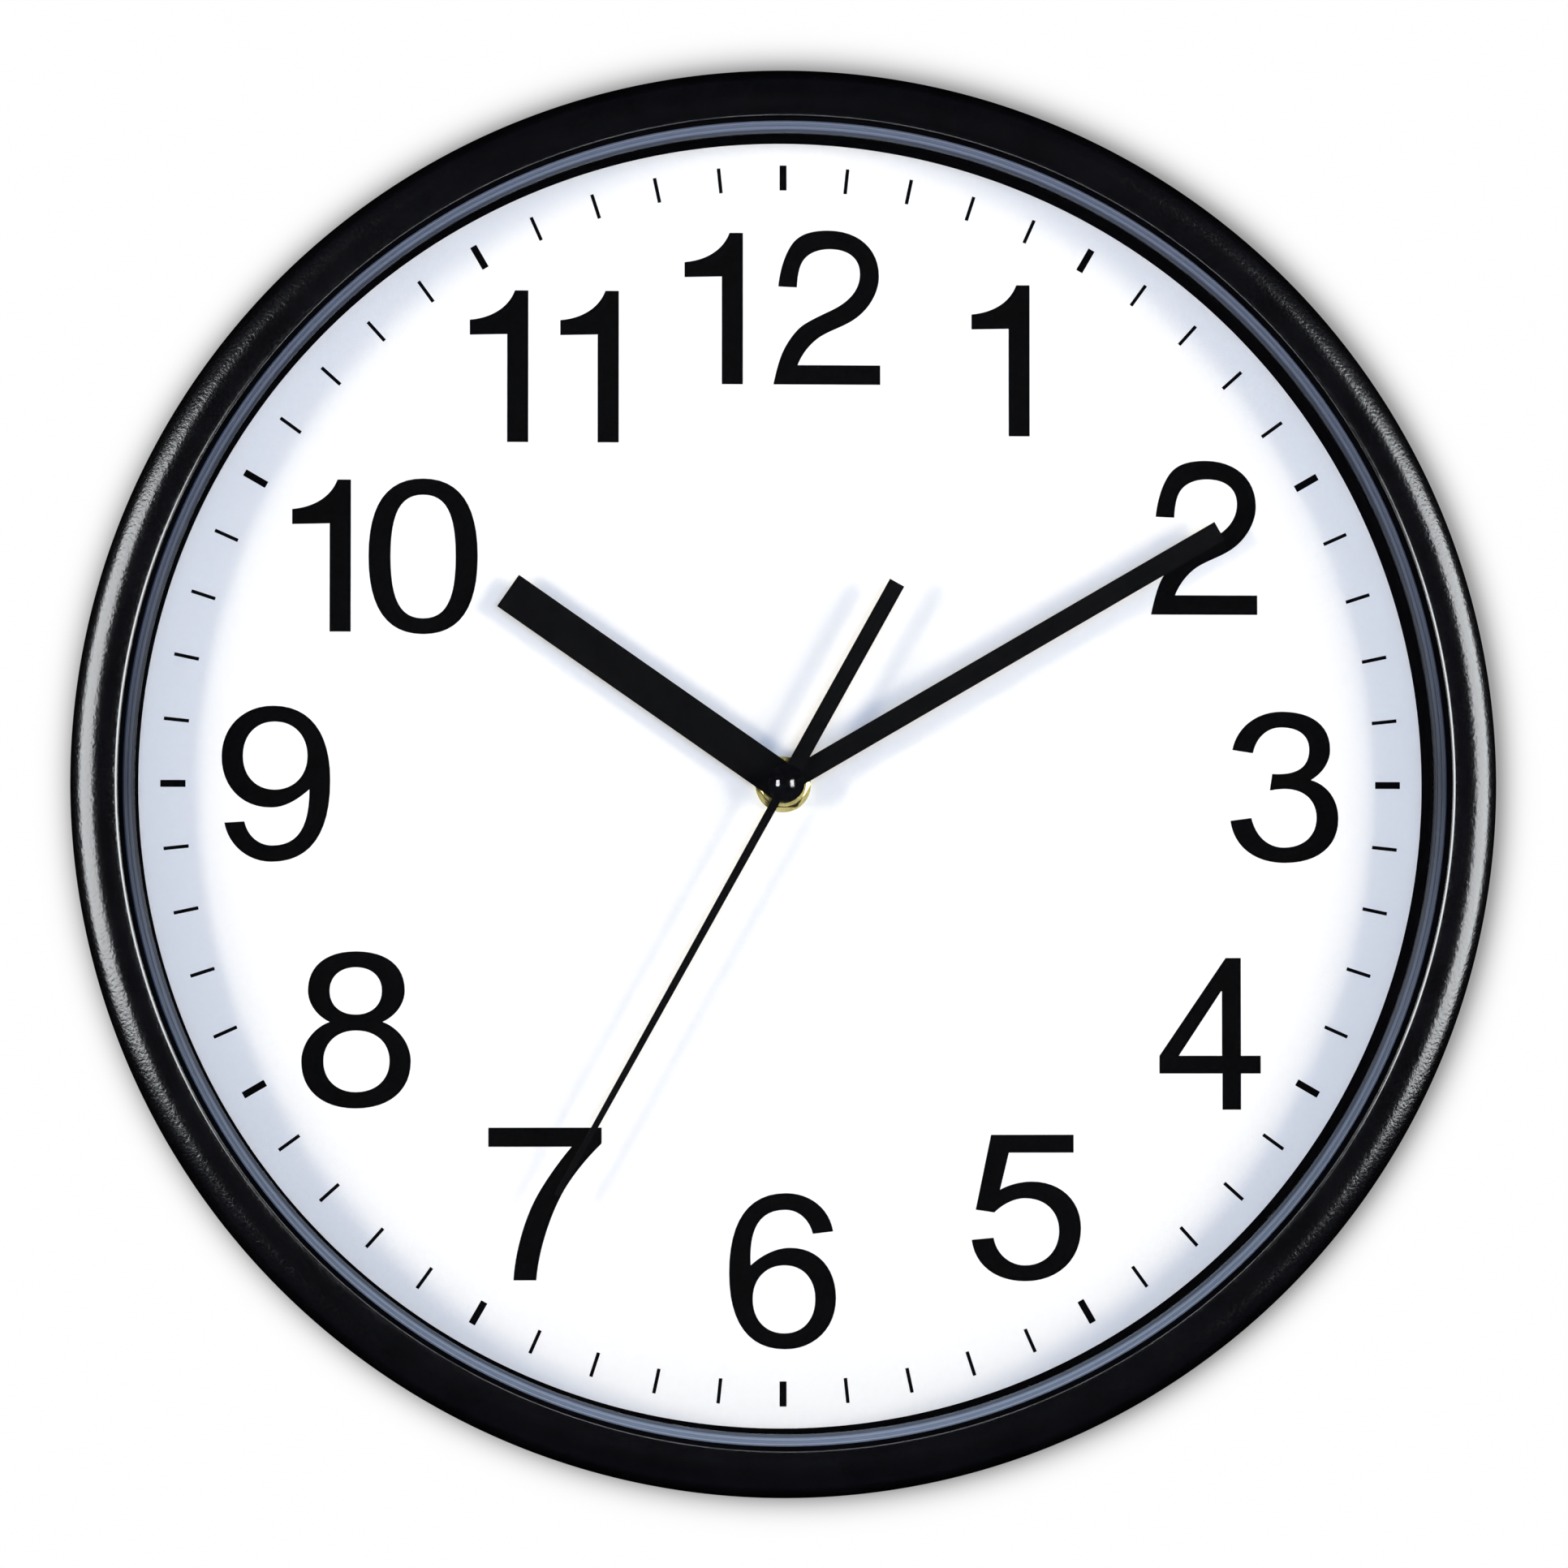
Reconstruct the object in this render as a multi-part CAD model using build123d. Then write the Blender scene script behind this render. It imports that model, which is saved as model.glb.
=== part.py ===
"""A 305 mm round battery wall clock: moulded frame, flat glass, dial, three hands and a quartz movement.

Everything is drawn lying down, with the dial in the XY plane (X right, Y up) and Z as the level above the
wall. The finished pieces are stood up for export: X right, -Y towards the viewer, +Z up, wall at Y = 0.
The hands' axis goes through the origin. Lengths are millimetres and angles are degrees.
"""

from build123d import *
import math
import os

# ---------------------------------------------------------------- driving dimensions
# Frame
RIM_R = 152.5                # widest radius of the frame
RIM_REAR_R = 151.4           # outer radius at the wall
WIDEST_LEVEL = 31.0          # level of the widest point
FRONT_LEVEL = 42.0           # crest of the front bead
CREST_R = 147.3              # radius of that crest
CHANNEL_OUT_R = 149.6        # hollow channel behind the bead, outer wall
CHANNEL_IN_R = 143.8         # and its inner wall
POCKET_R = 142.0             # pocket that takes glass, spacer ring and dial
OPENING_R = 138.8            # clear opening of the front lip
GLASS_SEAT_LEVEL = 36.4      # rear face of the front lip
SCREW_CIRCLE_R = 146.7       # screws that hold the back plate
SCREW_COUNT = 6

# Stack of flat pieces, from the wall out
PLATE_LEVEL = 18.0           # rear face of the back plate
DIAL_LEVEL = 20.0            # front face of the back plate, rear face of the dial
DIAL_THICK = 0.4
GLASS_THICK = 2.0
STACK_R = 141.6              # radius of glass, spacer ring and dial
PLATE_R = 149.2

# Hands: (clock angle, reach from the axis, width)
HOUR_ANGLE, HOUR_REACH, HOUR_WIDTH = 304.85, 72.4, 8.2
MINUTE_ANGLE, MINUTE_REACH, MINUTE_WIDTH = 59.8, 108.4, 4.5
SECOND_ANGLE, SECOND_REACH, SECOND_TAIL = 209.05, 101.0, 49.2
HOUR_HAND_LEVEL, MINUTE_HAND_LEVEL, SECOND_HAND_LEVEL = 25.4, 28.3, 30.9
HAND_THICK, SECOND_HAND_THICK = 0.5, 0.3
CAP_R, CAP_DOME_R = 4.0, 7.3

# Movement
CASE_HALF = 28.0             # half the width of the movement
CASE_BOTTOM, CASE_TOP = -29.0, 28.0
CASE_REAR, CASE_FRONT = 0.6, 15.6
CASE_WALL = 1.4
COVER_FRONT = 17.0
CHAMBER_BOTTOM = -11.6       # wheels above, battery below
BAY_TOP = -12.8
ARBOR_R = 0.45
RUN = 0.07                   # radial running clearance
SECOND_R, MINUTE_TUBE_R, HOUR_TUBE_R = 0.45, 1.6, 2.45
BUSH_R = 4.0
CELL_R, CELL_V = 7.25, -20.2
CELL_LEVEL = 8.25            # level of the battery's axis
KNOB_R = 5.8

# Wheel work: module in mm and tooth counts
FINE, CENTRE, SETTING, HOUR_MODULE = 0.3, 10.8 * 2 / 68, 0.35, 8.4 * 2 / 60
ROTOR_PINION, INTERMEDIATE_WHEEL, INTERMEDIATE_PINION, SECOND_WHEEL = 8, 48, 12, 60
SECOND_PINION, THIRD_WHEEL, THIRD_PINION, MINUTE_WHEEL = 8, 64, 8, 60
CANNON_PINION, MOTION_WHEEL, MOTION_PINION, HOUR_WHEEL, SETTING_PINION = 12, 36, 12, 48, 18
ADDENDUM, DEDENDUM, BACKLASH = 0.8, 1.1, 0.16
PRESSURE_ANGLE = 20.0

# Hanger plate behind the top of the clock
HANGER_V = 89.0              # height of the plate's centre above the axis
HANGER_HALF_W, HANGER_HALF_H = 14.0, 18.0
HANGER_REAR, HANGER_THICK = 3.0, 1.2
KEYHOLE_R, KEYHOLE_V = 4.5, 83.0
SLOT_HALF, SLOT_TOP_V = 2.3, 96.0

OUT = "parts"


# ---------------------------------------------------------------- small shape helpers
def polar(radius, angle, centre=(0.0, 0.0)):
    """The point at that radius and angle, counter-clockwise from +X, about centre."""
    a = math.radians(angle)
    return centre[0] + radius * math.cos(a), centre[1] + radius * math.sin(a)


def disc(radius, low, high, at=(0.0, 0.0)):
    """A solid cylinder between two levels."""
    return Pos(at[0], at[1], (low + high) / 2) * Cylinder(radius, high - low)


def ring(outer, inner, low, high, at=(0.0, 0.0)):
    """A tube between two levels."""
    return disc(outer, low, high, at) - disc(inner, low - 1, high + 1, at)


def block(u0, u1, v0, v1, low, high):
    """A box from its three ranges."""
    centre = Pos((u0 + u1) / 2, (v0 + v1) / 2, (low + high) / 2)
    return centre * Box(u1 - u0, v1 - v0, high - low)


def slab(sketch, low, high):
    """A flat outline given thickness between two levels."""
    return extrude(Pos(0, 0, low) * sketch, high - low)


def turned(*edges):
    """A solid of revolution from a closed outline of (radius, level) lines and arcs."""
    return revolve(Plane.XZ * make_face(list(edges)), Axis.Z)


def turned_points(*points):
    """A solid of revolution from a closed polygon of (radius, level) points."""
    return turned(Polyline(*points, close=True))


def dome(radius, sphere_r, low, edge):
    """A disc with a straight edge and a spherical front."""
    def sphere_level(r):
        return low + edge + math.sqrt(sphere_r ** 2 - r ** 2) - math.sqrt(sphere_r ** 2 - radius ** 2)

    half, top = radius / 2, sphere_level(0)
    return turned(Line((0, low), (radius, low)), Line((radius, low), (radius, low + edge)),
                  ThreePointArc((radius, low + edge), (half, sphere_level(half)), (0, top)),
                  Line((0, top), (0, low)))


def polygon(*points):
    """A flat face from its corners."""
    return make_face(Polyline(*points, close=True))


# ---------------------------------------------------------------- gear teeth
def involute(angle):
    return math.tan(angle) - angle


def toothed(teeth, module, low, high, at, phase, flank_points):
    """A spur gear blank with involute teeth, one tooth centred on the angle phase."""
    pitch_r = module * teeth / 2
    pressure = math.radians(PRESSURE_ANGLE)
    base_r = pitch_r * math.cos(pressure)
    root_r = pitch_r - DEDENDUM * module
    tip_r = pitch_r + ADDENDUM * module
    half_tooth = math.pi / (2 * teeth) * (1 - BACKLASH)

    def half_angle(radius):
        spread = 0.0 if radius <= base_r else involute(math.acos(base_r / radius))
        return math.degrees(half_tooth + involute(pressure) - spread)

    steps = flank_points + 1
    radii = [root_r + (tip_r - root_r) * i / steps for i in range(steps + 1)]
    points = []
    for tooth in range(teeth):
        middle = phase + 360 * tooth / teeth
        points += [polar(r, middle - half_angle(r)) for r in radii]
        points += [polar(r, middle + half_angle(r)) for r in reversed(radii)]
    return Pos(at[0], at[1], 0) * slab(polygon(*points), low, high)


def wheel(teeth, module, low, high, at, phase, spokes=0):
    """A large gear: straight-flanked teeth, and windows between spokes if it has any."""
    made = toothed(teeth, module, low, high, at, phase, 0)
    rim_r = module * teeth / 2 - 4 * module
    hub_r = 3.2
    for spoke in range(spokes):
        span = 360 / spokes
        middle = span * (spoke + 0.5)
        corners = [polar(hub_r, middle - span * 0.22, at), polar(rim_r, middle - span * 0.36, at),
                   polar(rim_r, middle + span * 0.36, at), polar(hub_r, middle + span * 0.22, at)]
        outer = ThreePointArc(corners[1], polar(rim_r, middle, at), corners[2])
        inner = ThreePointArc(corners[3], polar(hub_r, middle, at), corners[0])
        window = make_face([Line(corners[0], corners[1]), outer, Line(corners[2], corners[3]), inner])
        made -= slab(window, low - 1, high + 1)
    return made


def pinion(teeth, module, low, high, at, phase):
    """A small gear, with curved flanks."""
    return toothed(teeth, module, low, high, at, phase, 2)


def meshing_phase(phase, teeth, bearing, other_teeth):
    """Where the other gear has a tooth, so that the two mesh. bearing points from this one to that one."""
    turns = (bearing - phase) * teeth / 360
    return bearing + 180 - (0.5 - turns) * 360 / other_teeth


# Axes of the wheel work, on the XY plane
CENTRE_AXIS = (0.0, 0.0)
INTERMEDIATE_BEARING, ROTOR_BEARING, THIRD_BEARING = 165.0, 120.0, 60.0
MOTION_BEARING, KNOB_BEARING = -20.0, 10.0


def centre_distance(module, teeth, other_teeth):
    return module * (teeth + other_teeth) / 2


INTERMEDIATE_AXIS = polar(centre_distance(FINE, SECOND_WHEEL, INTERMEDIATE_PINION), INTERMEDIATE_BEARING)
ROTOR_AXIS = polar(centre_distance(FINE, INTERMEDIATE_WHEEL, ROTOR_PINION), ROTOR_BEARING,
                   INTERMEDIATE_AXIS)
THIRD_AXIS = polar(centre_distance(FINE, SECOND_PINION, THIRD_WHEEL), THIRD_BEARING)
MOTION_AXIS = polar(centre_distance(SETTING, CANNON_PINION, MOTION_WHEEL), MOTION_BEARING)
KNOB_AXIS = polar(centre_distance(SETTING, MOTION_WHEEL, SETTING_PINION), KNOB_BEARING, MOTION_AXIS)


# ---------------------------------------------------------------- frame, glass, dial and back
def frame_ring():
    """The moulded frame: a hollow rounded bead, a stepped glossy lip and the pocket wall behind it."""
    foot_round = 0.5
    groove_r, lip_r = 142.2, 141.3
    bead_in, bead_edge = (142.9, 41.55), (142.35, 41.1)
    wall_top, groove_level = 40.4, 39.0
    ridge_mid, ridge_in = (140.3, 38.9), (139.4, 38.5)
    lip_front = 37.6
    wall_end = 20.1
    arch_in, arch_top, arch_out = (CHANNEL_IN_R, 38.8), (147.2, 39.6), (CHANNEL_OUT_R, 34.0)
    ring_solid = turned(
        Line((CHANNEL_OUT_R, 0), (RIM_REAR_R - foot_round, 0)),
        Line((RIM_REAR_R - foot_round, 0), (RIM_REAR_R, foot_round)),
        TangentArc((RIM_R, WIDEST_LEVEL), (RIM_REAR_R, foot_round), tangent=(0, -1)),
        EllipticalCenterArc((CREST_R, WIDEST_LEVEL), RIM_R - CREST_R, FRONT_LEVEL - WIDEST_LEVEL,
                            start_angle=0, arc_size=90),
        TangentArc((CREST_R, FRONT_LEVEL), bead_in, tangent=(-1, 0)),
        ThreePointArc(bead_in, bead_edge, (groove_r, wall_top)),
        Polyline((groove_r, wall_top), (groove_r, groove_level), (lip_r, groove_level)),
        ThreePointArc((lip_r, groove_level), (140.85, 39.35), ridge_mid),
        ThreePointArc(ridge_mid, (139.85, 39.05), ridge_in),
        ThreePointArc(ridge_in, (138.95, 38.15), (OPENING_R, lip_front)),
        Polyline((OPENING_R, lip_front), (OPENING_R, GLASS_SEAT_LEVEL), (POCKET_R, GLASS_SEAT_LEVEL),
                 (POCKET_R, wall_end), (CHANNEL_IN_R, wall_end), arch_in),
        ThreePointArc(arch_in, arch_top, arch_out),
        Line(arch_out, (CHANNEL_OUT_R, 0)),
    )
    boss_r, boss_front = 3.0, 39.8
    pilot_r, pilot_depth = 1.25, 11.0
    for at in screw_places():
        ring_solid += disc(boss_r, DIAL_LEVEL, boss_front, at)
        ring_solid -= disc(pilot_r, DIAL_LEVEL - 1, DIAL_LEVEL + pilot_depth, at)
    return ring_solid


def screw_places():
    return [polar(SCREW_CIRCLE_R, 30 + 360 * i / SCREW_COUNT) for i in range(SCREW_COUNT)]


def glass():
    """The flat front glass, with eased edges."""
    low, ease = GLASS_SEAT_LEVEL - GLASS_THICK, 0.3
    return turned_points((0, low), (STACK_R - ease, low), (STACK_R, low + ease),
                         (STACK_R, GLASS_SEAT_LEVEL - ease), (STACK_R - ease, GLASS_SEAT_LEVEL),
                         (0, GLASS_SEAT_LEVEL))


def spacer_ring():
    """The black ring that holds the glass off the dial; its inside is the wall seen through the glass."""
    low, high = DIAL_LEVEL + DIAL_THICK, GLASS_SEAT_LEVEL - GLASS_THICK
    return turned_points((138.5, low), (STACK_R, low), (STACK_R, high), (OPENING_R, high))


def dial():
    return ring(STACK_R, BUSH_R + 0.1, DIAL_LEVEL, DIAL_LEVEL + DIAL_THICK)


def hanger_corners(inset):
    """The four corners of the hanger, in from its edges."""
    half_w, half_h = HANGER_HALF_W - inset, HANGER_HALF_H - inset
    return [(u * half_w, HANGER_V + v * half_h) for u in (-1, 1) for v in (-1, 1)]


def back_plate():
    """The moulded back plate, with ribs, a locating wall round the movement and a box for the hanger."""
    made = disc(PLATE_R, PLATE_LEVEL, DIAL_LEVEL)
    rib_rear, rib_thick = 15.5, 1.4
    rib_rings, rib_reach, rib_count = (58.0, 98.0, 138.0), (58.0, 138.0), 12
    for radius in rib_rings:
        made += ring(radius + rib_thick / 2, radius - rib_thick / 2, rib_rear, PLATE_LEVEL)
    for i in range(rib_count):
        spoke = block(rib_reach[0], rib_reach[1], -rib_thick / 2, rib_thick / 2, rib_rear, PLATE_LEVEL)
        made += Rot(Z=15 + 360 * i / rib_count) * spoke
    # locating wall round the movement
    gap, wall, wall_rear = 0.4, 1.5, 12.5
    inner_u, inner_low, inner_high = CASE_HALF + gap, CASE_BOTTOM - gap, CASE_TOP + gap
    made += block(-inner_u - wall, inner_u + wall, inner_low - wall, inner_high + wall,
                  wall_rear, PLATE_LEVEL)
    made -= block(-inner_u, inner_u, inner_low, inner_high, wall_rear - 1, PLATE_LEVEL)
    # box that carries the hanger plate at the rear
    box_wall, corner = 2.2, 5.0
    box_rear = HANGER_REAR + HANGER_THICK
    low_v, high_v = HANGER_V - HANGER_HALF_H, HANGER_V + HANGER_HALF_H
    made += block(-HANGER_HALF_W, HANGER_HALF_W, low_v, high_v, box_rear, PLATE_LEVEL)
    inner_half = HANGER_HALF_W - box_wall
    made -= block(-inner_half, inner_half, low_v + box_wall, high_v - box_wall, box_rear - 1, DIAL_LEVEL + 1)
    half = corner / 2
    for u, v in hanger_corners(half):
        made += block(u - half, u + half, v - half, v + half, box_rear, DIAL_LEVEL)
    for at in hanger_corners(half):
        made -= disc(1.05, box_rear - 1, box_rear + 8, at)
    # holes: bush, and screws into the frame
    made -= disc(BUSH_R + 0.1, PLATE_LEVEL - 1, DIAL_LEVEL + 1)
    for at in screw_places():
        made -= disc(1.6, PLATE_LEVEL - 1, DIAL_LEVEL + 1, at)
    return made


def pan_screw(at, seat, length, pilot_r, head_r, head_h):
    """A cross-recessed pan-head screw: its head bears on the level seat, its shank points to the viewer."""
    shank_r, tip = pilot_r - 0.04, seat + length
    head_low = seat - head_h
    head = turned_points((0, head_low), (head_r * 0.55, head_low), (head_r, head_low + head_h * 0.45),
                         (head_r, seat), (0, seat))
    shank = turned_points((0, seat), (shank_r, seat), (shank_r, tip - shank_r),
                          (shank_r * 0.3, tip), (0, tip))
    made = head + shank
    arm, width, depth = head_r * 0.55, head_r * 0.2, head_h * 0.5
    for angle in (0, 90):
        made -= Rot(Z=angle) * block(-arm, arm, -width / 2, width / 2, head_low - 1, head_low + depth)
    return Pos(at[0], at[1], 0) * made


def back_plate_screws():
    return [pan_screw(at, PLATE_LEVEL, 12.0, 1.25, 2.8, 1.9) for at in screw_places()]


def hanger_plate():
    """The steel plate with the keyhole that the wall screw goes through."""
    rear, front = HANGER_REAR, HANGER_REAR + HANGER_THICK
    outline = Pos(0, HANGER_V) * RectangleRounded(2 * HANGER_HALF_W, 2 * HANGER_HALF_H, 3.0)
    made = slab(outline, rear, front)
    made -= disc(KEYHOLE_R, rear - 1, front + 1, (0, KEYHOLE_V))
    made -= disc(SLOT_HALF, rear - 1, front + 1, (0, SLOT_TOP_V))
    made -= block(-SLOT_HALF, SLOT_HALF, KEYHOLE_V, SLOT_TOP_V, rear - 1, front + 1)
    for at in hanger_corners(2.5):
        made -= disc(1.2, rear - 1, front + 1, at)
    return made


def hanger_screws():
    return [pan_screw(at, HANGER_REAR, 7.5, 1.05, 2.0, 1.2) for at in hanger_corners(2.5)]


# ---------------------------------------------------------------- movement housing
def case_outline():
    middle = Pos(0, (CASE_BOTTOM + CASE_TOP) / 2)
    return middle * RectangleRounded(2 * CASE_HALF, CASE_TOP - CASE_BOTTOM, 2.0)


def movement_case():
    """The rear housing: a chamber for the wheels, an open bay for the battery and a well for the knob."""
    inner = CASE_HALF - CASE_WALL
    chamber_rear = CASE_REAR + CASE_WALL
    made = slab(case_outline(), CASE_REAR, CASE_FRONT)
    made -= block(-inner, inner, CHAMBER_BOTTOM, CASE_TOP - CASE_WALL, chamber_rear, CASE_FRONT + 1)
    made -= block(-inner, inner, CASE_BOTTOM + CASE_WALL, BAY_TOP, CASE_REAR - 1, CASE_FRONT + 1)
    # thumb notch, to lift the battery out
    made -= Pos(0, CASE_BOTTOM, CASE_REAR) * (Rot(X=90) * Cylinder(7.0, 2 * CASE_WALL + 1))
    # well for the setting knob
    well_r, well_wall, well_floor = KNOB_R + 0.7, 1.2, 3.0
    made += disc(well_r + well_wall, CASE_REAR, well_floor + 1.2, KNOB_AXIS)
    made -= disc(well_r, CASE_REAR - 1, well_floor, KNOB_AXIS)
    made -= disc(1.5 + RUN, CASE_REAR, CASE_FRONT, KNOB_AXIS)
    # rear pivots
    for at in (CENTRE_AXIS, INTERMEDIATE_AXIS, THIRD_AXIS):
        made -= disc(ARBOR_R + RUN, CASE_REAR + 0.6, chamber_rear + 1, at)
    made -= disc(0.35 + RUN, CASE_REAR + 0.6, chamber_rear + 1, ROTOR_AXIS)
    # posts that carry the train plate, with pins through it
    for at in plate_posts():
        made += disc(1.5, chamber_rear, PLATE_REAR, at) + disc(0.8, PLATE_REAR, PLATE_REAR + 1.1, at)
    for at in STATOR_SCREWS:
        made += ring(1.8, 0.85, chamber_rear - 0.2, STATOR_REAR, at)
    for at in BOARD_POSTS:
        made += disc(1.2, chamber_rear, BOARD_REAR, at)
    # windows that the cover's hooks click into
    for turn, at, off in cover_hooks():
        made -= turn * block(at + 0.9, at + 2.6, off - 2.2, off + 2.2, HOOK_LEVEL - 0.1, HOOK_LEVEL + 1.1)
    # slots that the battery contacts pass through
    for side in (-1, 1):
        low, high = sorted((side * 25.6, side * inner))
        made -= block(low, high, BAY_TOP - 0.5, CHAMBER_BOTTOM + 0.5, 5.8, 11.2)
    return made


HOOK_LEVEL = 12.8


def cover_hooks():
    """Each hook: the turn from +X to its wall, how far out its inside is, and its place along the wall."""
    side, low, along = CASE_HALF - CASE_WALL - 1.05, -CASE_BOTTOM - CASE_WALL - 1.05, 14.0
    return [(Rot(Z=0), side, along), (Rot(Z=180), side, -along),
            (Rot(Z=-90), low, -along), (Rot(Z=-90), low, along)]


def plate_posts():
    return [(-23.5, -9.0), (23.5, -9.3), (-23.5, 4.0), (23.5, 10.5)]


PLATE_REAR, PLATE_THICK = 9.0, 0.8
STATOR_REAR, STATOR_THICK = 4.7, 1.0
STATOR_SCREWS = ((-23.2, 21.5), (-3.6, 21.5))
BOARD_REAR, BOARD_THICK = 7.0, 0.8
BOARD_POSTS = ((23.0, 23.5), (9.5, 23.0))


def movement_cover():
    """The front lid of the movement, with the seat for the threaded bush."""
    made = slab(case_outline(), CASE_FRONT, COVER_FRONT)
    for turn, at, off in cover_hooks():
        made += turn * block(at, at + 1.0, off - 2.0, off + 2.0, HOOK_LEVEL - 0.6, CASE_FRONT)
        made += turn * block(at, at + 1.5, off - 2.0, off + 2.0, HOOK_LEVEL, HOOK_LEVEL + 1.0)
    made -= disc(BUSH_R + 0.02, CASE_FRONT - 1, COVER_FRONT + 1)
    made -= disc(ARBOR_R + RUN, CASE_FRONT - 1, CASE_FRONT + 0.8, MOTION_AXIS)
    made -= disc(0.8 + RUN, CASE_FRONT - 1, CASE_FRONT + 0.8, KNOB_AXIS)
    return made


def train_plate():
    """The bridge that carries the front pivots of the going train."""
    outline = Pos(0, 1.35) * RectangleRounded(50.4, 24.3, 2.0)
    made = slab(outline, PLATE_REAR, PLATE_REAR + PLATE_THICK)
    holes = [(CENTRE_AXIS, MINUTE_TUBE_R + RUN), (ROTOR_AXIS, 0.35 + RUN), (KNOB_AXIS, 1.5 + RUN)]
    holes += [(at, ARBOR_R + RUN) for at in (INTERMEDIATE_AXIS, THIRD_AXIS, MOTION_AXIS)]
    holes += [(at, 0.85) for at in plate_posts()]
    for at, radius in holes:
        made -= disc(radius, PLATE_REAR - 1, PLATE_REAR + 2, at)
    return made


def threaded_bush():
    """The post that the nut screws on to: a flanged tube, its thread drawn as evenly spaced grooves."""
    flange_r, flange_low, end = 6.0, 14.8, 24.2
    bore = HOUR_TUBE_R + 0.08
    pitch, groove = 0.75, 0.3
    edge = [(bore, flange_low), (flange_r, flange_low), (flange_r, CASE_FRONT), (BUSH_R, CASE_FRONT),
            (BUSH_R, COVER_FRONT + pitch)]
    level = COVER_FRONT + pitch
    while level + pitch < end:
        edge += [(BUSH_R - groove, level + pitch / 2), (BUSH_R, level + pitch)]
        level += pitch
    edge += [(BUSH_R - groove, end), (bore, end)]
    return turned_points(*edge)


def gasket():
    return ring(11.0, BUSH_R + 0.1, COVER_FRONT, PLATE_LEVEL)


def bush_washer():
    return ring(6.0, BUSH_R + 0.08, DIAL_LEVEL + DIAL_THICK, DIAL_LEVEL + DIAL_THICK + 0.6)


def hex_nut():
    """The brass nut, chamfered to a circle on both faces."""
    across_flats, low, high = 10.0, DIAL_LEVEL + DIAL_THICK + 0.6, 23.4
    corner_r = across_flats / math.sqrt(3)
    face_r, drop = across_flats / 2 * 0.97, 0.45
    cone = turned_points((0, low), (face_r, low), (corner_r + 0.1, low + drop),
                         (corner_r + 0.1, high - drop), (face_r, high), (0, high))
    return (slab(RegularPolygon(corner_r, 6), low, high) & cone) - disc(BUSH_R + 0.02, low - 1, high + 1)


# ---------------------------------------------------------------- step motor and electronics
def rotor_magnet():
    return ring(3.0, 0.36, 4.0, 5.7, ROTOR_AXIS)


def rotor_pinion():
    phase = meshing_phase(INTERMEDIATE_PHASE, INTERMEDIATE_WHEEL, ROTOR_BEARING, ROTOR_PINION)
    return (pinion(ROTOR_PINION, FINE, 5.7, 7.0, ROTOR_AXIS, phase)
            + disc(0.35, CASE_REAR + 0.8, PLATE_REAR + 0.7, ROTOR_AXIS))


def stator():
    """The soft-iron plate whose hole the rotor turns in; its legs meet the coil's core."""
    leg = polygon((-25.2, 7.4), (-5.2, 7.4), (-5.2, 12.7), (-4.2, 15.0), (-1.6, 17.6), (-1.6, 24.0),
                  (-5.6, 24.0), (-5.6, 17.0), (-9.0, 13.2), (-21.3, 13.2), (-21.3, 24.0), (-25.2, 24.0))
    made = slab(leg, STATOR_REAR, STATOR_REAR + STATOR_THICK)
    made += disc(5.2, STATOR_REAR, STATOR_REAR + STATOR_THICK, ROTOR_AXIS)
    made -= disc(3.5, STATOR_REAR - 1, STATOR_REAR + 2, ROTOR_AXIS)
    for at in STATOR_SCREWS:
        made -= disc(0.85, STATOR_REAR - 1, STATOR_REAR + 2, at)
    return made


COIL_LEVEL, COIL_V = STATOR_REAR + STATOR_THICK + 0.5, 21.5
COIL_ENDS = (-20.5, -6.2)


def coil_core():
    rear = STATOR_REAR + STATOR_THICK
    made = block(-25.2, -1.6, COIL_V - 1.8, COIL_V + 1.8, rear, rear + 1.0)
    for at in STATOR_SCREWS:
        made -= disc(0.85, rear - 1, rear + 2, at)
    return made


def along_x(radius, u0, u1):
    """A cylinder along X on the coil's axis."""
    return Pos((u0 + u1) / 2, COIL_V, COIL_LEVEL) * (Rot(Y=90) * Cylinder(radius, u1 - u0))


def coil_bobbin():
    flange_r, barrel_r, flange = 4.1, 2.6, 0.8
    u0, u1 = COIL_ENDS
    made = along_x(barrel_r, u0, u1)
    made += along_x(flange_r, u0, u0 + flange) + along_x(flange_r, u1 - flange, u1)
    return made - block(u0 - 1, u1 + 1, COIL_V - 1.9, COIL_V + 1.9, COIL_LEVEL - 0.6, COIL_LEVEL + 0.6)


def coil_winding():
    u0, u1 = COIL_ENDS[0] + 0.8, COIL_ENDS[1] - 0.8
    return along_x(3.8, u0, u1) - along_x(2.6, u0 - 1, u1 + 1)


def stator_screws():
    seat = STATOR_REAR + STATOR_THICK + 1.0
    return [Pos(at[0], at[1], 0) * (disc(1.5, seat, seat + 0.8) + disc(0.8, 2.4, seat)
            - block(-1.2, 1.2, -0.2, 0.2, seat + 0.4, seat + 1)) for at in STATOR_SCREWS]


def circuit_board():
    return block(7.0, 25.4, 14.0, 25.5, BOARD_REAR, BOARD_REAR + BOARD_THICK)


def quartz_crystal():
    """The can of the tuning-fork crystal, lying on the board."""
    return Pos(20.0, 22.0, BOARD_REAR + BOARD_THICK + 1.0) * (Rot(Y=90) * Cylinder(1.0, 6.0))


def chip_blob():
    """The drop of resin over the chip."""
    return Pos(13.5, 18.5, 0) * dome(2.6, 3.9, BOARD_REAR + BOARD_THICK, 0.1)


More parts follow.
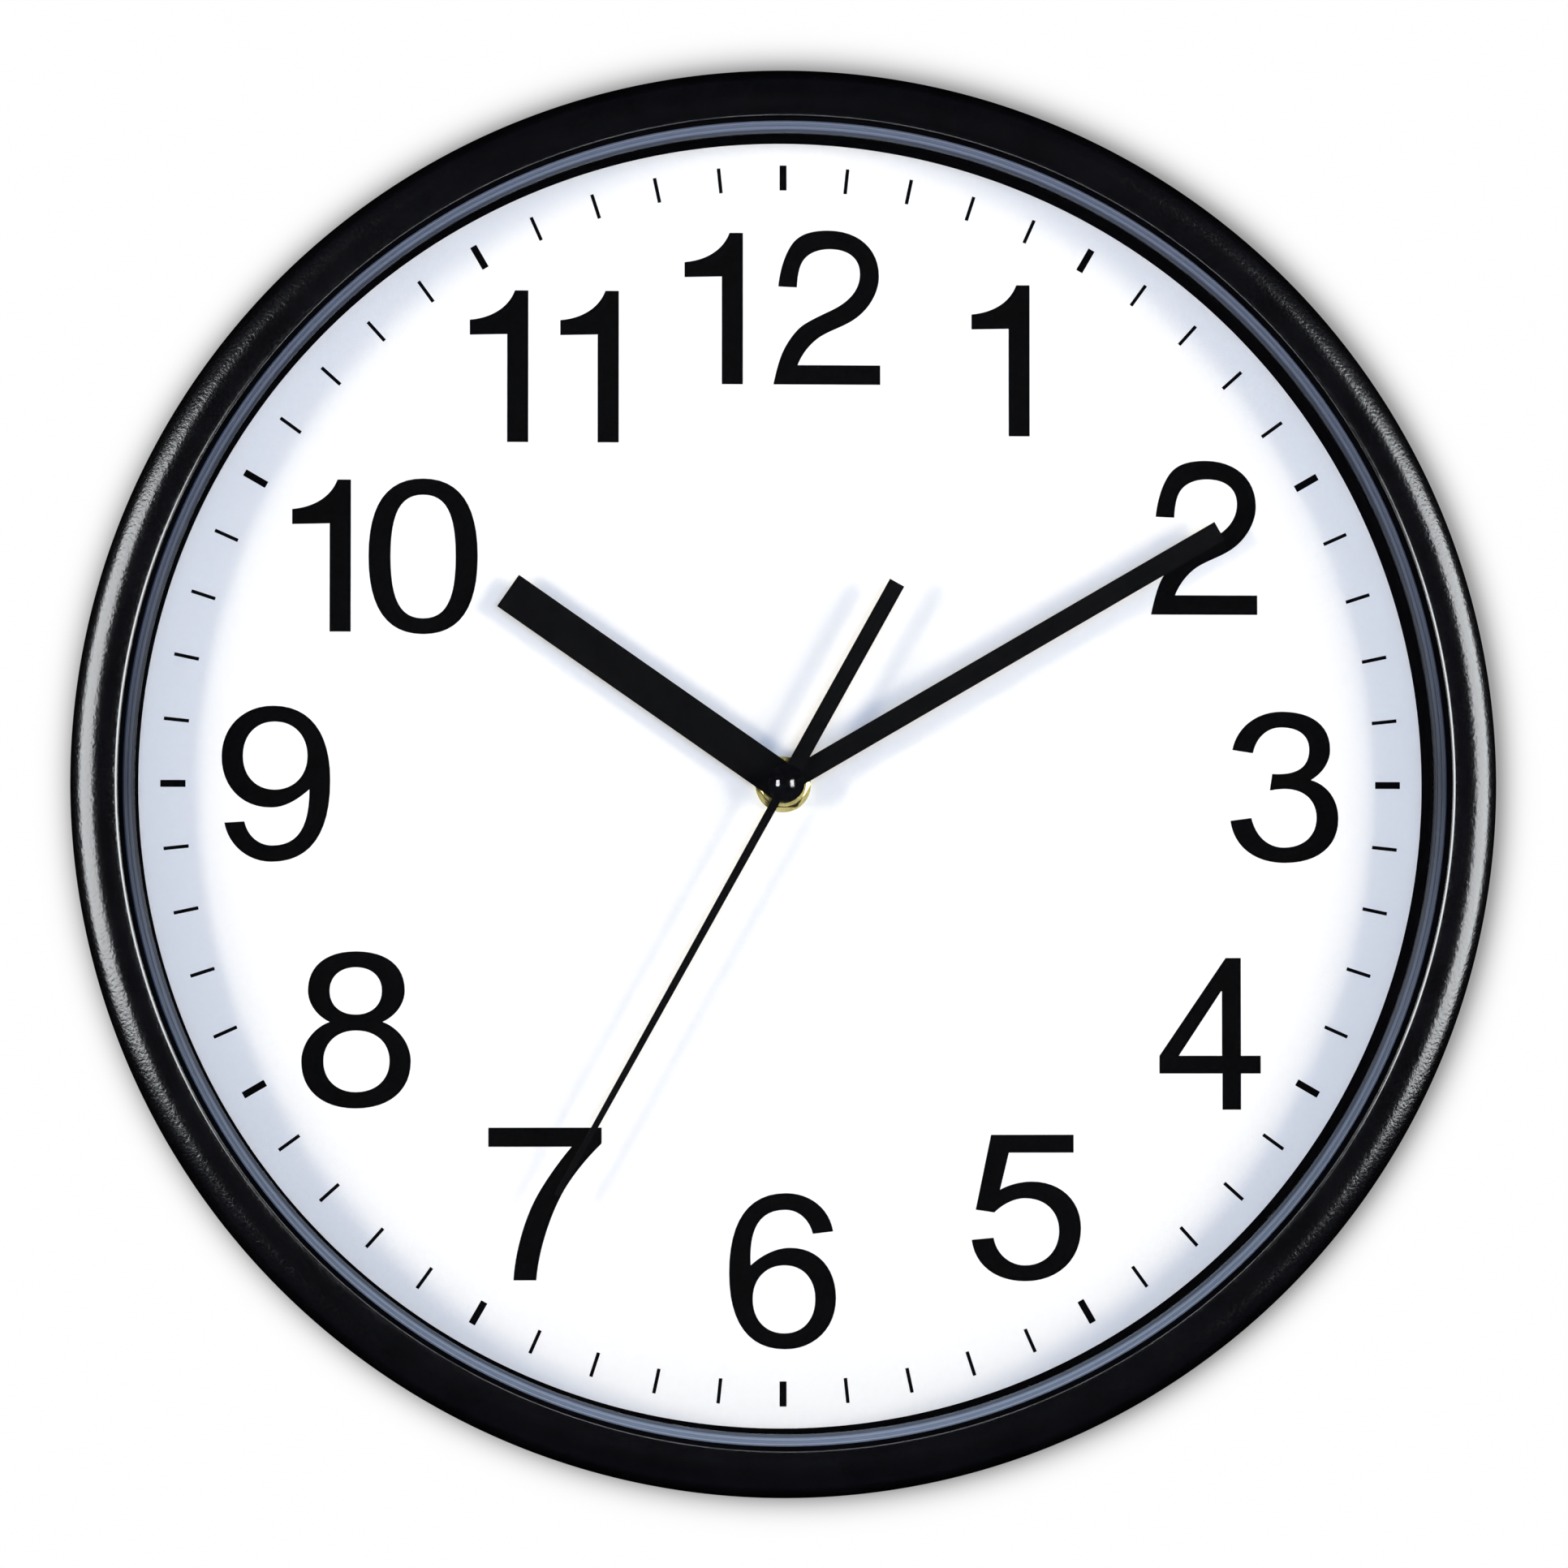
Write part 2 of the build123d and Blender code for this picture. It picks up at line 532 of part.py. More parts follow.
def contact_positive():
    """The positive spring strip: a plate at the battery's nub and a strip up the wall to the board."""
    low, high = 25.95, 26.35
    made = block(low, high, -25.0, -13.5, 3.0, 13.5)
    made += block(low, high, -13.6, 15.2, 6.0, 9.0)
    made += block(22.0, high, 14.2, 15.2, BOARD_REAR - 0.4, BOARD_REAR)
    return made + Pos(low - 0.1, CELL_V, CELL_LEVEL) * (Rot(Y=90) * Cylinder(1.6, 0.3))


def contact_negative():
    """The negative strip: a bowed leaf in the bay, then up the wall and along the top to the board."""
    low, high, top = -26.35, -25.95, 26.35
    made = block(low, high, -25.0, -13.5, 3.0, 13.5)
    made += block(low, high, -13.6, top, 8.2, 11.0)
    made += block(low, 10.0, top - 0.4, top, 8.2, 11.0)
    made += block(8.0, 10.0, 23.4, top, BOARD_REAR + BOARD_THICK, BOARD_REAR + BOARD_THICK + 0.4)
    foot, bow, thick, half = high - 0.1, 0.85, 0.3, 4.2
    leaf = make_face([
        ThreePointArc((foot, CELL_V - half), (foot + bow + thick, CELL_V), (foot, CELL_V + half)),
        Line((foot, CELL_V + half), (foot, CELL_V + half - thick)),
        ThreePointArc((foot, CELL_V + half - thick), (foot + bow, CELL_V), (foot, CELL_V - half + thick)),
        Line((foot, CELL_V - half + thick), (foot, CELL_V - half)),
    ])
    return made + slab(leaf, CELL_LEVEL - 2.2, CELL_LEVEL + 2.2)


# ---------------------------------------------------------------- battery
CELL_END, CELL_SHOULDER, CELL_NUB = -24.8, 24.4, 25.55
CAN_R = CELL_R - 0.25


def lathe_along_x(*points):
    """A turned piece on the battery's axis, from (X, radius) points."""
    solid = revolve(make_face(Polyline(*points, close=True)), Axis.X)
    return Pos(0, CELL_V, CELL_LEVEL) * solid


def battery_jacket():
    """The printed sleeve round the cell, rolled in at both ends."""
    left, right, lip_r, ease, roll = CELL_END, CELL_SHOULDER, CELL_R - 1.2, 0.3, 0.4
    return lathe_along_x((left, lip_r), (left, CELL_R - ease), (left + ease, CELL_R),
                         (right - ease, CELL_R), (right, CELL_R - ease), (right, lip_r),
                         (right - roll, lip_r), (right - roll, CAN_R),
                         (left + roll, CAN_R), (left + roll, lip_r))


def battery_can():
    """The steel can with the positive nub."""
    left, right, nub_r = CELL_END + 0.4, CELL_SHOULDER - 0.4, 2.75
    return lathe_along_x((left, 0), (left, CAN_R), (right, CAN_R), (right, CELL_R - 1.3),
                         (right + 0.2, nub_r + 0.4), (right + 0.2, nub_r),
                         (CELL_NUB - 0.2, nub_r), (CELL_NUB, nub_r - 0.25), (CELL_NUB, 0))


def battery_negative_cap():
    return lathe_along_x((CELL_END, 0), (CELL_END, 4.6), (CELL_END + 0.4, 4.9), (CELL_END + 0.4, 0))


# ---------------------------------------------------------------- wheel work
SECOND_PHASE = CANNON_PHASE = INTERMEDIATE_PHASE = THIRD_PHASE = MOTION_PINION_PHASE = 0.0
MOTION_PHASE = meshing_phase(CANNON_PHASE, CANNON_PINION, MOTION_BEARING, MOTION_WHEEL)


def intermediate_wheel():
    pinion_phase = meshing_phase(SECOND_PHASE, SECOND_WHEEL, INTERMEDIATE_BEARING, INTERMEDIATE_PINION)
    return (wheel(INTERMEDIATE_WHEEL, FINE, 6.0, 6.8, INTERMEDIATE_AXIS, INTERMEDIATE_PHASE, spokes=3)
            + pinion(INTERMEDIATE_PINION, FINE, 2.9, 4.3, INTERMEDIATE_AXIS, pinion_phase)
            + disc(1.2, 4.3, 6.0, INTERMEDIATE_AXIS)
            + disc(ARBOR_R, CASE_REAR + 0.8, PLATE_REAR + 0.7, INTERMEDIATE_AXIS))


def second_wheel():
    """The wheel and pinion pressed on the second arbor."""
    made = wheel(SECOND_WHEEL, FINE, 3.2, 4.0, CENTRE_AXIS, SECOND_PHASE, spokes=4)
    made += pinion(SECOND_PINION, FINE, 4.0, 5.6, CENTRE_AXIS, SECOND_PHASE) + disc(1.5, 2.6, 3.2)
    return made - disc(SECOND_R + 0.01, 0, 10)


def second_arbor():
    return disc(SECOND_R, CASE_REAR + 0.8, SECOND_HAND_LEVEL + 0.2)


def third_wheel():
    phase = meshing_phase(SECOND_PHASE, SECOND_PINION, THIRD_BEARING, THIRD_WHEEL)
    return (wheel(THIRD_WHEEL, FINE, 4.6, 5.4, THIRD_AXIS, phase, spokes=4)
            + pinion(THIRD_PINION, CENTRE, 5.4, 8.2, THIRD_AXIS, THIRD_PHASE)
            + disc(ARBOR_R, CASE_REAR + 0.8, PLATE_REAR + 0.7, THIRD_AXIS))


def minute_wheel():
    """The wheel that the going train drives; it grips the minute arbor through the clutch washer."""
    phase = meshing_phase(THIRD_PHASE, THIRD_PINION, THIRD_BEARING + 180, MINUTE_WHEEL)
    made = wheel(MINUTE_WHEEL, CENTRE, 7.2, 8.0, CENTRE_AXIS, phase, spokes=4)
    return made - disc(MINUTE_TUBE_R + 0.05, 6, 9)


def minute_arbor():
    """The tube that carries the minute hand, with its flange and the cannon pinion."""
    made = disc(MINUTE_TUBE_R, 6.2, 29.4) + disc(2.9, 6.6, 7.15)
    made += pinion(CANNON_PINION, SETTING, 10.2, 12.2, CENTRE_AXIS, CANNON_PHASE)
    return made - disc(SECOND_R + 0.08, 5, 30)


def clutch_washer():
    return ring(2.9, MINUTE_TUBE_R + 0.01, 8.05, 8.4)


def motion_wheel():
    return (wheel(MOTION_WHEEL, SETTING, 10.6, 11.4, MOTION_AXIS, MOTION_PHASE)
            + pinion(MOTION_PINION, HOUR_MODULE, 11.4, 13.8, MOTION_AXIS, MOTION_PINION_PHASE)
            + disc(ARBOR_R, PLATE_REAR + 0.1, CASE_FRONT + 0.7, MOTION_AXIS))


def hour_wheel():
    """The hour wheel and its tube, which carries the hour hand."""
    phase = meshing_phase(MOTION_PINION_PHASE, MOTION_PINION, MOTION_BEARING + 180, HOUR_WHEEL)
    made = toothed(HOUR_WHEEL, HOUR_MODULE, 12.6, 13.4, CENTRE_AXIS, phase, 0)
    made += disc(HOUR_TUBE_R, 12.6, 26.2)
    return made - disc(MINUTE_TUBE_R + 0.08, 10, 30)


def setting_pinion():
    phase = meshing_phase(MOTION_PHASE, MOTION_WHEEL, KNOB_BEARING, SETTING_PINION)
    return (pinion(SETTING_PINION, SETTING, 10.4, 11.6, KNOB_AXIS, phase)
            + disc(0.8, 11.6, CASE_FRONT + 0.7, KNOB_AXIS))


def setting_knob():
    """The knurled knob in its well, and the stem that carries the setting pinion."""
    low, high, grips = 0.8, 2.8, 24
    made = disc(KNOB_R, low, high)
    for i in range(grips):
        made -= disc(0.45, low - 1, high + 1, polar(KNOB_R + 0.15, 360 * i / grips))
    made -= ring(4.4, 1.6, low - 1, low + 0.5)
    made += disc(1.5, high, 10.4)
    return Pos(KNOB_AXIS[0], KNOB_AXIS[1], 0) * made


# ---------------------------------------------------------------- hands
def bar_hand(width, reach, hub_r, tube_r, low, collar_low, collar_r):
    """A straight hand that points to twelve, with a hub and a collar that is pushed on to its tube."""
    flat = Pos(0, reach / 2) * Rectangle(width, reach) + Circle(hub_r)
    made = slab(flat, low, low + HAND_THICK) + disc(collar_r, collar_low, low)
    return made - disc(tube_r + 0.01, collar_low - 1, low + 1)


def hour_hand():
    hub_r, collar_rear, collar_r = HOUR_WIDTH / 2, 24.5, 3.6
    hand = bar_hand(HOUR_WIDTH, HOUR_REACH, hub_r, HOUR_TUBE_R, HOUR_HAND_LEVEL, collar_rear, collar_r)
    return Rot(Z=-HOUR_ANGLE) * hand


def minute_hand():
    hub_r, collar_rear, collar_r = 3.2, 27.3, 2.7
    hand = bar_hand(MINUTE_WIDTH, MINUTE_REACH, hub_r, MINUTE_TUBE_R, MINUTE_HAND_LEVEL,
                    collar_rear, collar_r)
    return Rot(Z=-MINUTE_ANGLE) * hand


def second_hand():
    """The tapering needle, its broad counterweight tail and the collar that grips the arbor."""
    hub_half, tip_half, tail_half = 0.93, 0.6, 1.75
    flat = polygon((-hub_half, 0), (-tip_half, SECOND_REACH), (tip_half, SECOND_REACH), (hub_half, 0))
    flat += Pos(0, -SECOND_TAIL / 2) * Rectangle(2 * tail_half, SECOND_TAIL) + Circle(3.0)
    made = slab(flat, SECOND_HAND_LEVEL, SECOND_HAND_LEVEL + SECOND_HAND_THICK)
    made += disc(1.3, 29.6, SECOND_HAND_LEVEL)
    return Rot(Z=-SECOND_ANGLE) * (made - disc(SECOND_R + 0.01, 20, 40))


def centre_cap():
    """The shallow dome over the second hand's hub."""
    return dome(CAP_R, CAP_DOME_R, SECOND_HAND_LEVEL + SECOND_HAND_THICK, 0.3)


# ---------------------------------------------------------------- export
PIECES = {
    "frame": frame_ring, "glass": glass, "spacer_ring": spacer_ring, "dial": dial,
    "back_plate": back_plate, "back_plate_screws": back_plate_screws,
    "hanger_plate": hanger_plate, "hanger_screws": hanger_screws,
    "movement_case": movement_case, "movement_cover": movement_cover, "train_plate": train_plate,
    "threaded_bush": threaded_bush, "gasket": gasket, "bush_washer": bush_washer, "hex_nut": hex_nut,
    "rotor_magnet": rotor_magnet, "rotor_pinion": rotor_pinion, "stator": stator,
    "coil_core": coil_core, "coil_bobbin": coil_bobbin, "coil_winding": coil_winding,
    "stator_screws": stator_screws, "circuit_board": circuit_board,
    "quartz_crystal": quartz_crystal, "chip_blob": chip_blob,
    "contact_positive": contact_positive, "contact_negative": contact_negative,
    "battery_jacket": battery_jacket, "battery_can": battery_can,
    "battery_negative_cap": battery_negative_cap,
    "intermediate_wheel": intermediate_wheel, "second_wheel": second_wheel,
    "second_arbor": second_arbor, "third_wheel": third_wheel, "minute_wheel": minute_wheel,
    "minute_arbor": minute_arbor, "clutch_washer": clutch_washer, "motion_wheel": motion_wheel,
    "hour_wheel": hour_wheel, "setting_pinion": setting_pinion, "setting_knob": setting_knob,
    "hour_hand": hour_hand, "minute_hand": minute_hand, "second_hand": second_hand,
    "centre_cap": centre_cap,
}


def main():
    os.makedirs(OUT, exist_ok=True)
    for name, make in PIECES.items():
        made = make()
        repeats = made if isinstance(made, list) else [made]
        standing = [Rot(X=90) * solid for piece in repeats for solid in piece.solids()]
        export_step(Compound(standing), f"{OUT}/{name}.step")


main()
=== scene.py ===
import math

import bmesh
import bpy
from mathutils import Matrix, Vector


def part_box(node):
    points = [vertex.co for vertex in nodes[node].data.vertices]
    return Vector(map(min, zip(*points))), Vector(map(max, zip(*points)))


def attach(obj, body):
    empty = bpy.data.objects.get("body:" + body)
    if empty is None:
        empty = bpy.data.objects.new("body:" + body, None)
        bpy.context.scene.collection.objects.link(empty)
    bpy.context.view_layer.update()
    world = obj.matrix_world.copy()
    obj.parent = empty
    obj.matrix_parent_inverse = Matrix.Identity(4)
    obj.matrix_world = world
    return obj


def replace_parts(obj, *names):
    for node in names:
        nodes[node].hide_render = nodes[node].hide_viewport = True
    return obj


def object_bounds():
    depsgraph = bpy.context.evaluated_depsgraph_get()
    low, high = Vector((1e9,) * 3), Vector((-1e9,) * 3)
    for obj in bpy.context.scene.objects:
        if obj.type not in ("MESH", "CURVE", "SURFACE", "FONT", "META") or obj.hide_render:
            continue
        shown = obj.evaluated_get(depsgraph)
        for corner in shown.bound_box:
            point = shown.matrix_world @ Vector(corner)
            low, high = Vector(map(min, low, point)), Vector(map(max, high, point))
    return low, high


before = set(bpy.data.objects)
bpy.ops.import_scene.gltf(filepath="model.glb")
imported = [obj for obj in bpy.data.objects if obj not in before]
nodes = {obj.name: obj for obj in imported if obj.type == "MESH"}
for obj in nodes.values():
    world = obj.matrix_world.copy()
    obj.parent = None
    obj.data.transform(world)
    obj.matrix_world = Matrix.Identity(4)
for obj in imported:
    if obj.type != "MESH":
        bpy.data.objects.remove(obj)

MM = 0.001
cad_low, cad_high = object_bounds()
DIAL_FRONT = -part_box("dial")[0].y / MM      # level of the dial's face above the wall, mm
scene = bpy.context.scene
scene.view_settings.view_transform = "Standard"


# ---------------------------------------------------------------- materials
class Shade:
    """A node tree whose nodes are made by kind, with what feeds their sockets and with their settings."""

    def __init__(self, tree):
        self.nt = tree

    def node(self, kind, inputs=None, **settings):
        made = self.nt.nodes.new(kind)
        for key, value in settings.items():
            setattr(made, key, value)
        for key, value in (inputs or {}).items():
            if isinstance(value, bpy.types.NodeSocket):
                self.nt.links.new(value, made.inputs[key])
            else:
                made.inputs[key].default_value = value
        return made

    def math(self, operation, a, b=0.0):
        return self.node("ShaderNodeMath", {0: a, 1: b}, operation=operation).outputs[0]

    def seen(self):
        """1 where the camera looks, 0 for the light that bounces."""
        return self.node("ShaderNodeLightPath").outputs["Is Camera Ray"]

    def mix(self, factor, a, b):
        return self.node("ShaderNodeMixShader", {0: factor, 1: a, 2: b}).outputs[0]


class Mat(Shade):
    """A procedural material: one Principled shader, with small helpers for what feeds it."""

    def __init__(self, name, color, rough, metal=0.0, spec=0.5):
        self.mat = bpy.data.materials.new(name)
        self.mat.use_nodes = True
        super().__init__(self.mat.node_tree)
        self.bsdf = self.nt.nodes["Principled BSDF"]
        self.bsdf.inputs["Base Color"].default_value = (*color, 1)
        self.bsdf.inputs["Roughness"].default_value = rough
        self.bsdf.inputs["Metallic"].default_value = metal
        self.bsdf.inputs["Specular IOR Level"].default_value = spec
        self.coords = self.node("ShaderNodeTexCoord").outputs["Object"]

    def link(self, source, name):
        self.nt.links.new(source, self.bsdf.inputs[name])

    def stretched(self, scale):
        """Object coordinates stretched along the axes, for brushed and turned marks."""
        inputs = {0: self.coords, 1: scale}
        return self.node("ShaderNodeVectorMath", inputs, operation="MULTIPLY").outputs[0]

    def noise(self, size, detail=3.0, vector=None):
        """Noise whose features are about size metres across."""
        inputs = {"Vector": vector or self.coords, "Scale": 1.0 / size, "Detail": detail, "Roughness": 0.55}
        return self.node("ShaderNodeTexNoise", inputs).outputs["Fac"]

    def cells(self, size):
        """Rounded cells about size metres across."""
        inputs = {"Vector": self.coords, "Scale": 1.0 / size}
        return self.node("ShaderNodeTexVoronoi", inputs).outputs["Distance"]

    def remap(self, value, low, high, to_low, to_high):
        inputs = {"Value": value, "From Min": low, "From Max": high, "To Min": to_low, "To Max": to_high}
        return self.node("ShaderNodeMapRange", inputs).outputs["Result"]

    def tint(self, value, low, high, at=(0.3, 0.7)):
        """Base colour that runs from low to high with value."""
        ramp = self.node("ShaderNodeValToRGB", {"Fac": value})
        for element, place, color in zip(ramp.color_ramp.elements, at, (low, high)):
            element.position = place
            element.color = (*color, 1)
        self.link(ramp.outputs["Color"], "Base Color")

    def roughness(self, value, low, high, at=(0.3, 0.7)):
        self.link(self.remap(value, *at, low, high), "Roughness")

    def bump(self, *layers):
        """Bump layers of (height socket, strength, distance in metres)."""
        normal = None
        for height, strength, distance in layers:
            inputs = {"Height": height, "Strength": strength, "Distance": distance}
            if normal is not None:
                inputs["Normal"] = normal
            normal = self.node("ShaderNodeBump", inputs).outputs["Normal"]
        self.link(normal, "Normal")


def grained_plastic(name, dark, light, rough, size, height, spec=0.5):
    """Moulded plastic with a fine spark-eroded grain."""
    m = Mat(name, dark, rough, spec=spec)
    m.tint(m.noise(0.012), dark, light)
    m.roughness(m.noise(size * 3), rough - 0.06, rough + 0.08)
    m.bump((m.cells(size), 0.5, height), (m.noise(size * 6), 0.25, height * 2))
    return m


def turned_metal(name, low, high, rough, axis_scale, metal=1.0):
    """Metal with fine tool marks across the stretched axis."""
    m = Mat(name, low, rough, metal)
    marks = m.noise(0.0004, 4, m.stretched(axis_scale))
    m.tint(m.noise(0.004), low, high)
    m.roughness(marks, rough - 0.08, rough + 0.1)
    m.bump((marks, 0.2, 0.00004))
    return m


def bead_plastic():
    """Black frame plastic with a sparkling fine grain."""
    m = Mat("frame_bead", (0.002, 0.002, 0.003), 0.24, spec=0.6)
    fine, coarse = m.noise(0.0007, 2), m.noise(0.0016, 2)
    m.tint(m.noise(0.009), (0.0014, 0.0014, 0.002), (0.003, 0.003, 0.0042))
    m.roughness(m.noise(0.0007), 0.17, 0.26)
    m.bump((fine, 0.8, 0.0001), (coarse, 0.15, 0.00006))
    return m


def lip_plastic_painted_light(name, shade):
    """The blue-black step round the glass: fine turning lines, and painted light that makes it paler towards
    its top and its foot and darker at its sides. The argument shade scales the whole tone; a low value gives
    a copy with painted shade.
    """
    m = Mat(name, (0.08, 0.095, 0.145), 0.25, spec=0.05)
    split = m.node("ShaderNodeSeparateXYZ", {0: m.coords})
    across, up = (m.math("POWER", split.outputs[axis], 2.0) for axis in (0, 2))
    radius = m.math("SQRT", m.math("ADD", across, up))
    turned = {"W": radius, "Scale": 4200.0, "Detail": 3.0}
    lines = m.node("ShaderNodeTexNoise", turned, noise_dimensions="1D").outputs["Fac"]
    # painted light: the tone follows the height, pale at the foot and the top and dark at the sides, in place
    # of the lamps' light
    height = m.remap(split.outputs[2], -0.14, 0.14, 0.0, 1.0)
    ramp = m.node("ShaderNodeValToRGB", {"Fac": height})
    foot, top = ramp.color_ramp.elements
    foot.color, top.color = (0.17, 0.21, 0.29, 1), (0.12, 0.145, 0.21, 1)
    ramp.color_ramp.elements.new(0.5).color = (0.04, 0.048, 0.068, 1)
    # shade lowers the whole tone; for the low step this is painted shade
    strength = m.remap(lines, 0.35, 0.65, 0.75 * shade, 1.25 * shade)
    tone = m.node("ShaderNodeVectorMath", {0: ramp.outputs["Color"], "Scale": strength}, operation="SCALE")
    m.link(tone.outputs[0], "Base Color")
    m.roughness(m.noise(0.003), 0.14, 0.28)
    m.bump((lines, 0.25, 0.00003), (m.noise(0.02), 0.2, 0.0002))
    return m


def polished_black(name, rough, spec=0.5):
    """Smooth black with a faint waviness: polished, or matt where rough is high and spec is 0."""
    m = Mat(name, (0.004, 0.004, 0.005), rough, spec=spec)
    m.tint(m.noise(0.006), (0.0015, 0.0015, 0.002), (0.003, 0.003, 0.004))
    m.roughness(m.noise(0.0015), rough - 0.04, rough + 0.08)
    m.bump((m.noise(0.004), 0.15, 0.00006))
    return m


def painted_sheet():
    """Black paint on the hands' thin sheet, with a slight orange peel."""
    m = Mat("hand_paint", (0.002, 0.002, 0.0024), 0.55, spec=0.06)
    m.tint(m.noise(0.003), (0.001, 0.001, 0.0013), (0.0025, 0.0025, 0.003))
    m.roughness(m.noise(0.0006), 0.5, 0.65)
    m.bump((m.noise(0.0005, 2), 0.25, 0.00003))
    return m


def dial_paper():
    """Satin white dial card with a barely visible fibre."""
    m = Mat("dial_card", (0.93, 0.935, 0.94), 0.62, spec=0.25)
    m.tint(m.noise(0.0012), (0.915, 0.92, 0.928), (0.945, 0.95, 0.955))
    m.roughness(m.noise(0.0008), 0.55, 0.72)
    m.bump((m.noise(0.0005, 2), 0.12, 0.00002))
    return m


def printed_ink():
    m = Mat("dial_ink", (0.001, 0.001, 0.0012), 0.6, spec=0.03)
    m.tint(m.noise(0.0009), (0.0006, 0.0006, 0.0008), (0.0018, 0.0018, 0.002))
    m.roughness(m.noise(0.0005), 0.55, 0.75)
    m.bump((m.noise(0.0003, 2), 0.15, 0.00001))
    return m


def clear_glass():
    """Thin clear glass: almost wholly see-through, under a faint green sheen."""
    m = Mat("front_glass", (0.9, 0.95, 0.94), 0.02, metal=1.0)
    m.tint(m.noise(0.02), (0.88, 0.94, 0.93), (0.93, 0.97, 0.96))
    m.roughness(m.noise(0.03), 0.005, 0.03)
    m.bsdf.inputs["Alpha"].default_value = 0.02
    return m


def coil_wire():
    """Close turns of enamelled wire."""
    m = Mat("coil_wire", (0.5, 0.16, 0.05), 0.3, 0.9)
    wave = m.node("ShaderNodeTexWave", {"Vector": m.coords, "Scale": 900.0, "Distortion": 0.4},
                  wave_type="BANDS", bands_direction="X").outputs["Fac"]
    m.tint(wave, (0.28, 0.07, 0.02), (0.62, 0.25, 0.09), (0.2, 0.8))
    m.bump((wave, 0.8, 0.0001))
    return m


def board_resin():
    """Green circuit board with lighter tracks."""
    m = Mat("board_resin", (0.02, 0.12, 0.05), 0.35)
    inputs = {"Vector": m.stretched((1, 0, 1)), "Scale": 420.0, "Mortar Size": 0.04}
    tracks = m.node("ShaderNodeTexBrick", inputs).outputs["Fac"]
    m.tint(tracks, (0.02, 0.12, 0.05), (0.06, 0.26, 0.1), (0.2, 0.6))
    m.bump((tracks, 0.4, 0.00003))
    return m


def battery_print():
    """The cell's sleeve: a dark body and a copper-coloured band at the positive end."""
    m = Mat("battery_print", (0.02, 0.02, 0.025), 0.28)
    split = m.node("ShaderNodeSeparateXYZ", {0: m.coords})
    wobble = m.math("MULTIPLY", m.noise(0.003), 0.0002)
    along = m.math("ADD", split.outputs[0], wobble)
    band = m.remap(along, 0.0118, 0.0121, 0.0, 1.0)
    m.tint(band, (0.012, 0.013, 0.016), (0.55, 0.24, 0.09), (0.4, 0.6))
    m.roughness(m.noise(0.002), 0.22, 0.36)
    m.bump((m.noise(0.004), 0.15, 0.00005))
    return m


BRIGHT = turned_metal("zinc_plate", (0.55, 0.56, 0.58), (0.72, 0.73, 0.74), 0.3, (1, 1, 1))
BRASS = turned_metal("turned_brass", (0.54, 0.45, 0.15), (0.74, 0.66, 0.3), 0.2, (1, 6, 1))
IRON = turned_metal("soft_iron", (0.32, 0.32, 0.33), (0.45, 0.45, 0.46), 0.42, (1, 1, 8))
FERRITE = turned_metal("ferrite", (0.05, 0.05, 0.055), (0.09, 0.09, 0.095), 0.5, (1, 1, 1), 0.6)
NICKEL = turned_metal("nickel_can", (0.7, 0.71, 0.73), (0.82, 0.82, 0.84), 0.14, (8, 1, 1))
CELL_STEEL = turned_metal("cell_steel", (0.62, 0.62, 0.63), (0.78, 0.78, 0.79), 0.24, (1, 6, 6))
SPRING = turned_metal("contact_spring", (0.66, 0.66, 0.66), (0.8, 0.8, 0.79), 0.22, (1, 1, 7))
ARBOR = turned_metal("arbor_steel", (0.5, 0.5, 0.51), (0.66, 0.66, 0.67), 0.2, (1, 9, 1))
ACETAL = grained_plastic("acetal", (0.78, 0.76, 0.7), (0.86, 0.85, 0.8), 0.4, 0.0006, 0.00003)
CASE_BLACK = grained_plastic("case_black", (0.012, 0.012, 0.013), (0.02, 0.02, 0.022), 0.5, 0.0005, 0.00006)
BACK_BLACK = grained_plastic("back_black", (0.016, 0.016, 0.018), (0.028, 0.028, 0.03), 0.55, 0.0009, 0.0001)
KNOB_BLACK = grained_plastic("knob_black", (0.02, 0.02, 0.021), (0.03, 0.03, 0.032), 0.42, 0.0004, 0.00004)
RUBBER = grained_plastic("gasket_rubber", (0.01, 0.01, 0.01), (0.02, 0.02, 0.02), 0.75, 0.0008, 0.00006, 0.3)
MATT_BLACK = polished_black("ring_black", 0.7, 0.0)
HAND_PAINT = painted_sheet()
LOOKS = {
    "dial": dial_paper(), "glass": clear_glass(),
    "back_plate": BACK_BLACK, "back_plate_screws": BRIGHT, "hanger_plate": BRIGHT, "hanger_screws": BRIGHT,
    "movement_case": CASE_BLACK, "movement_cover": CASE_BLACK, "setting_knob": KNOB_BLACK, "gasket": RUBBER,
    "threaded_bush": BRASS, "bush_washer": BRASS, "hex_nut": BRASS, "minute_arbor": BRASS,
    "stator": IRON, "coil_core": IRON, "stator_screws": BRIGHT, "rotor_magnet": FERRITE,
    "coil_winding": coil_wire(), "circuit_board": board_resin(),
    "chip_blob": polished_black("chip_resin", 0.2), "quartz_crystal": NICKEL,
    "battery_jacket": battery_print(), "battery_can": CELL_STEEL, "battery_negative_cap": CELL_STEEL,
    "contact_positive": SPRING, "contact_negative": SPRING, "second_arbor": ARBOR, "clutch_washer": BRIGHT,
    "hour_hand": HAND_PAINT, "minute_hand": HAND_PAINT, "second_hand": HAND_PAINT,
}
for name, node in nodes.items():
    look = LOOKS.get(name, ACETAL)
    node.data.materials.clear()
    node.data.materials.append(look.mat)


# ---------------------------------------------------------------- turned pieces
def arc(centre, radii, start, end, steps):
    """Points (radius, level) on an ellipse's arc between two angles in degrees."""
    angles = [math.radians(start + (end - start) * i / steps) for i in range(steps + 1)]
    return [(centre[0] + radii[0] * math.cos(a), centre[1] + radii[1] * math.sin(a)) for a in angles]


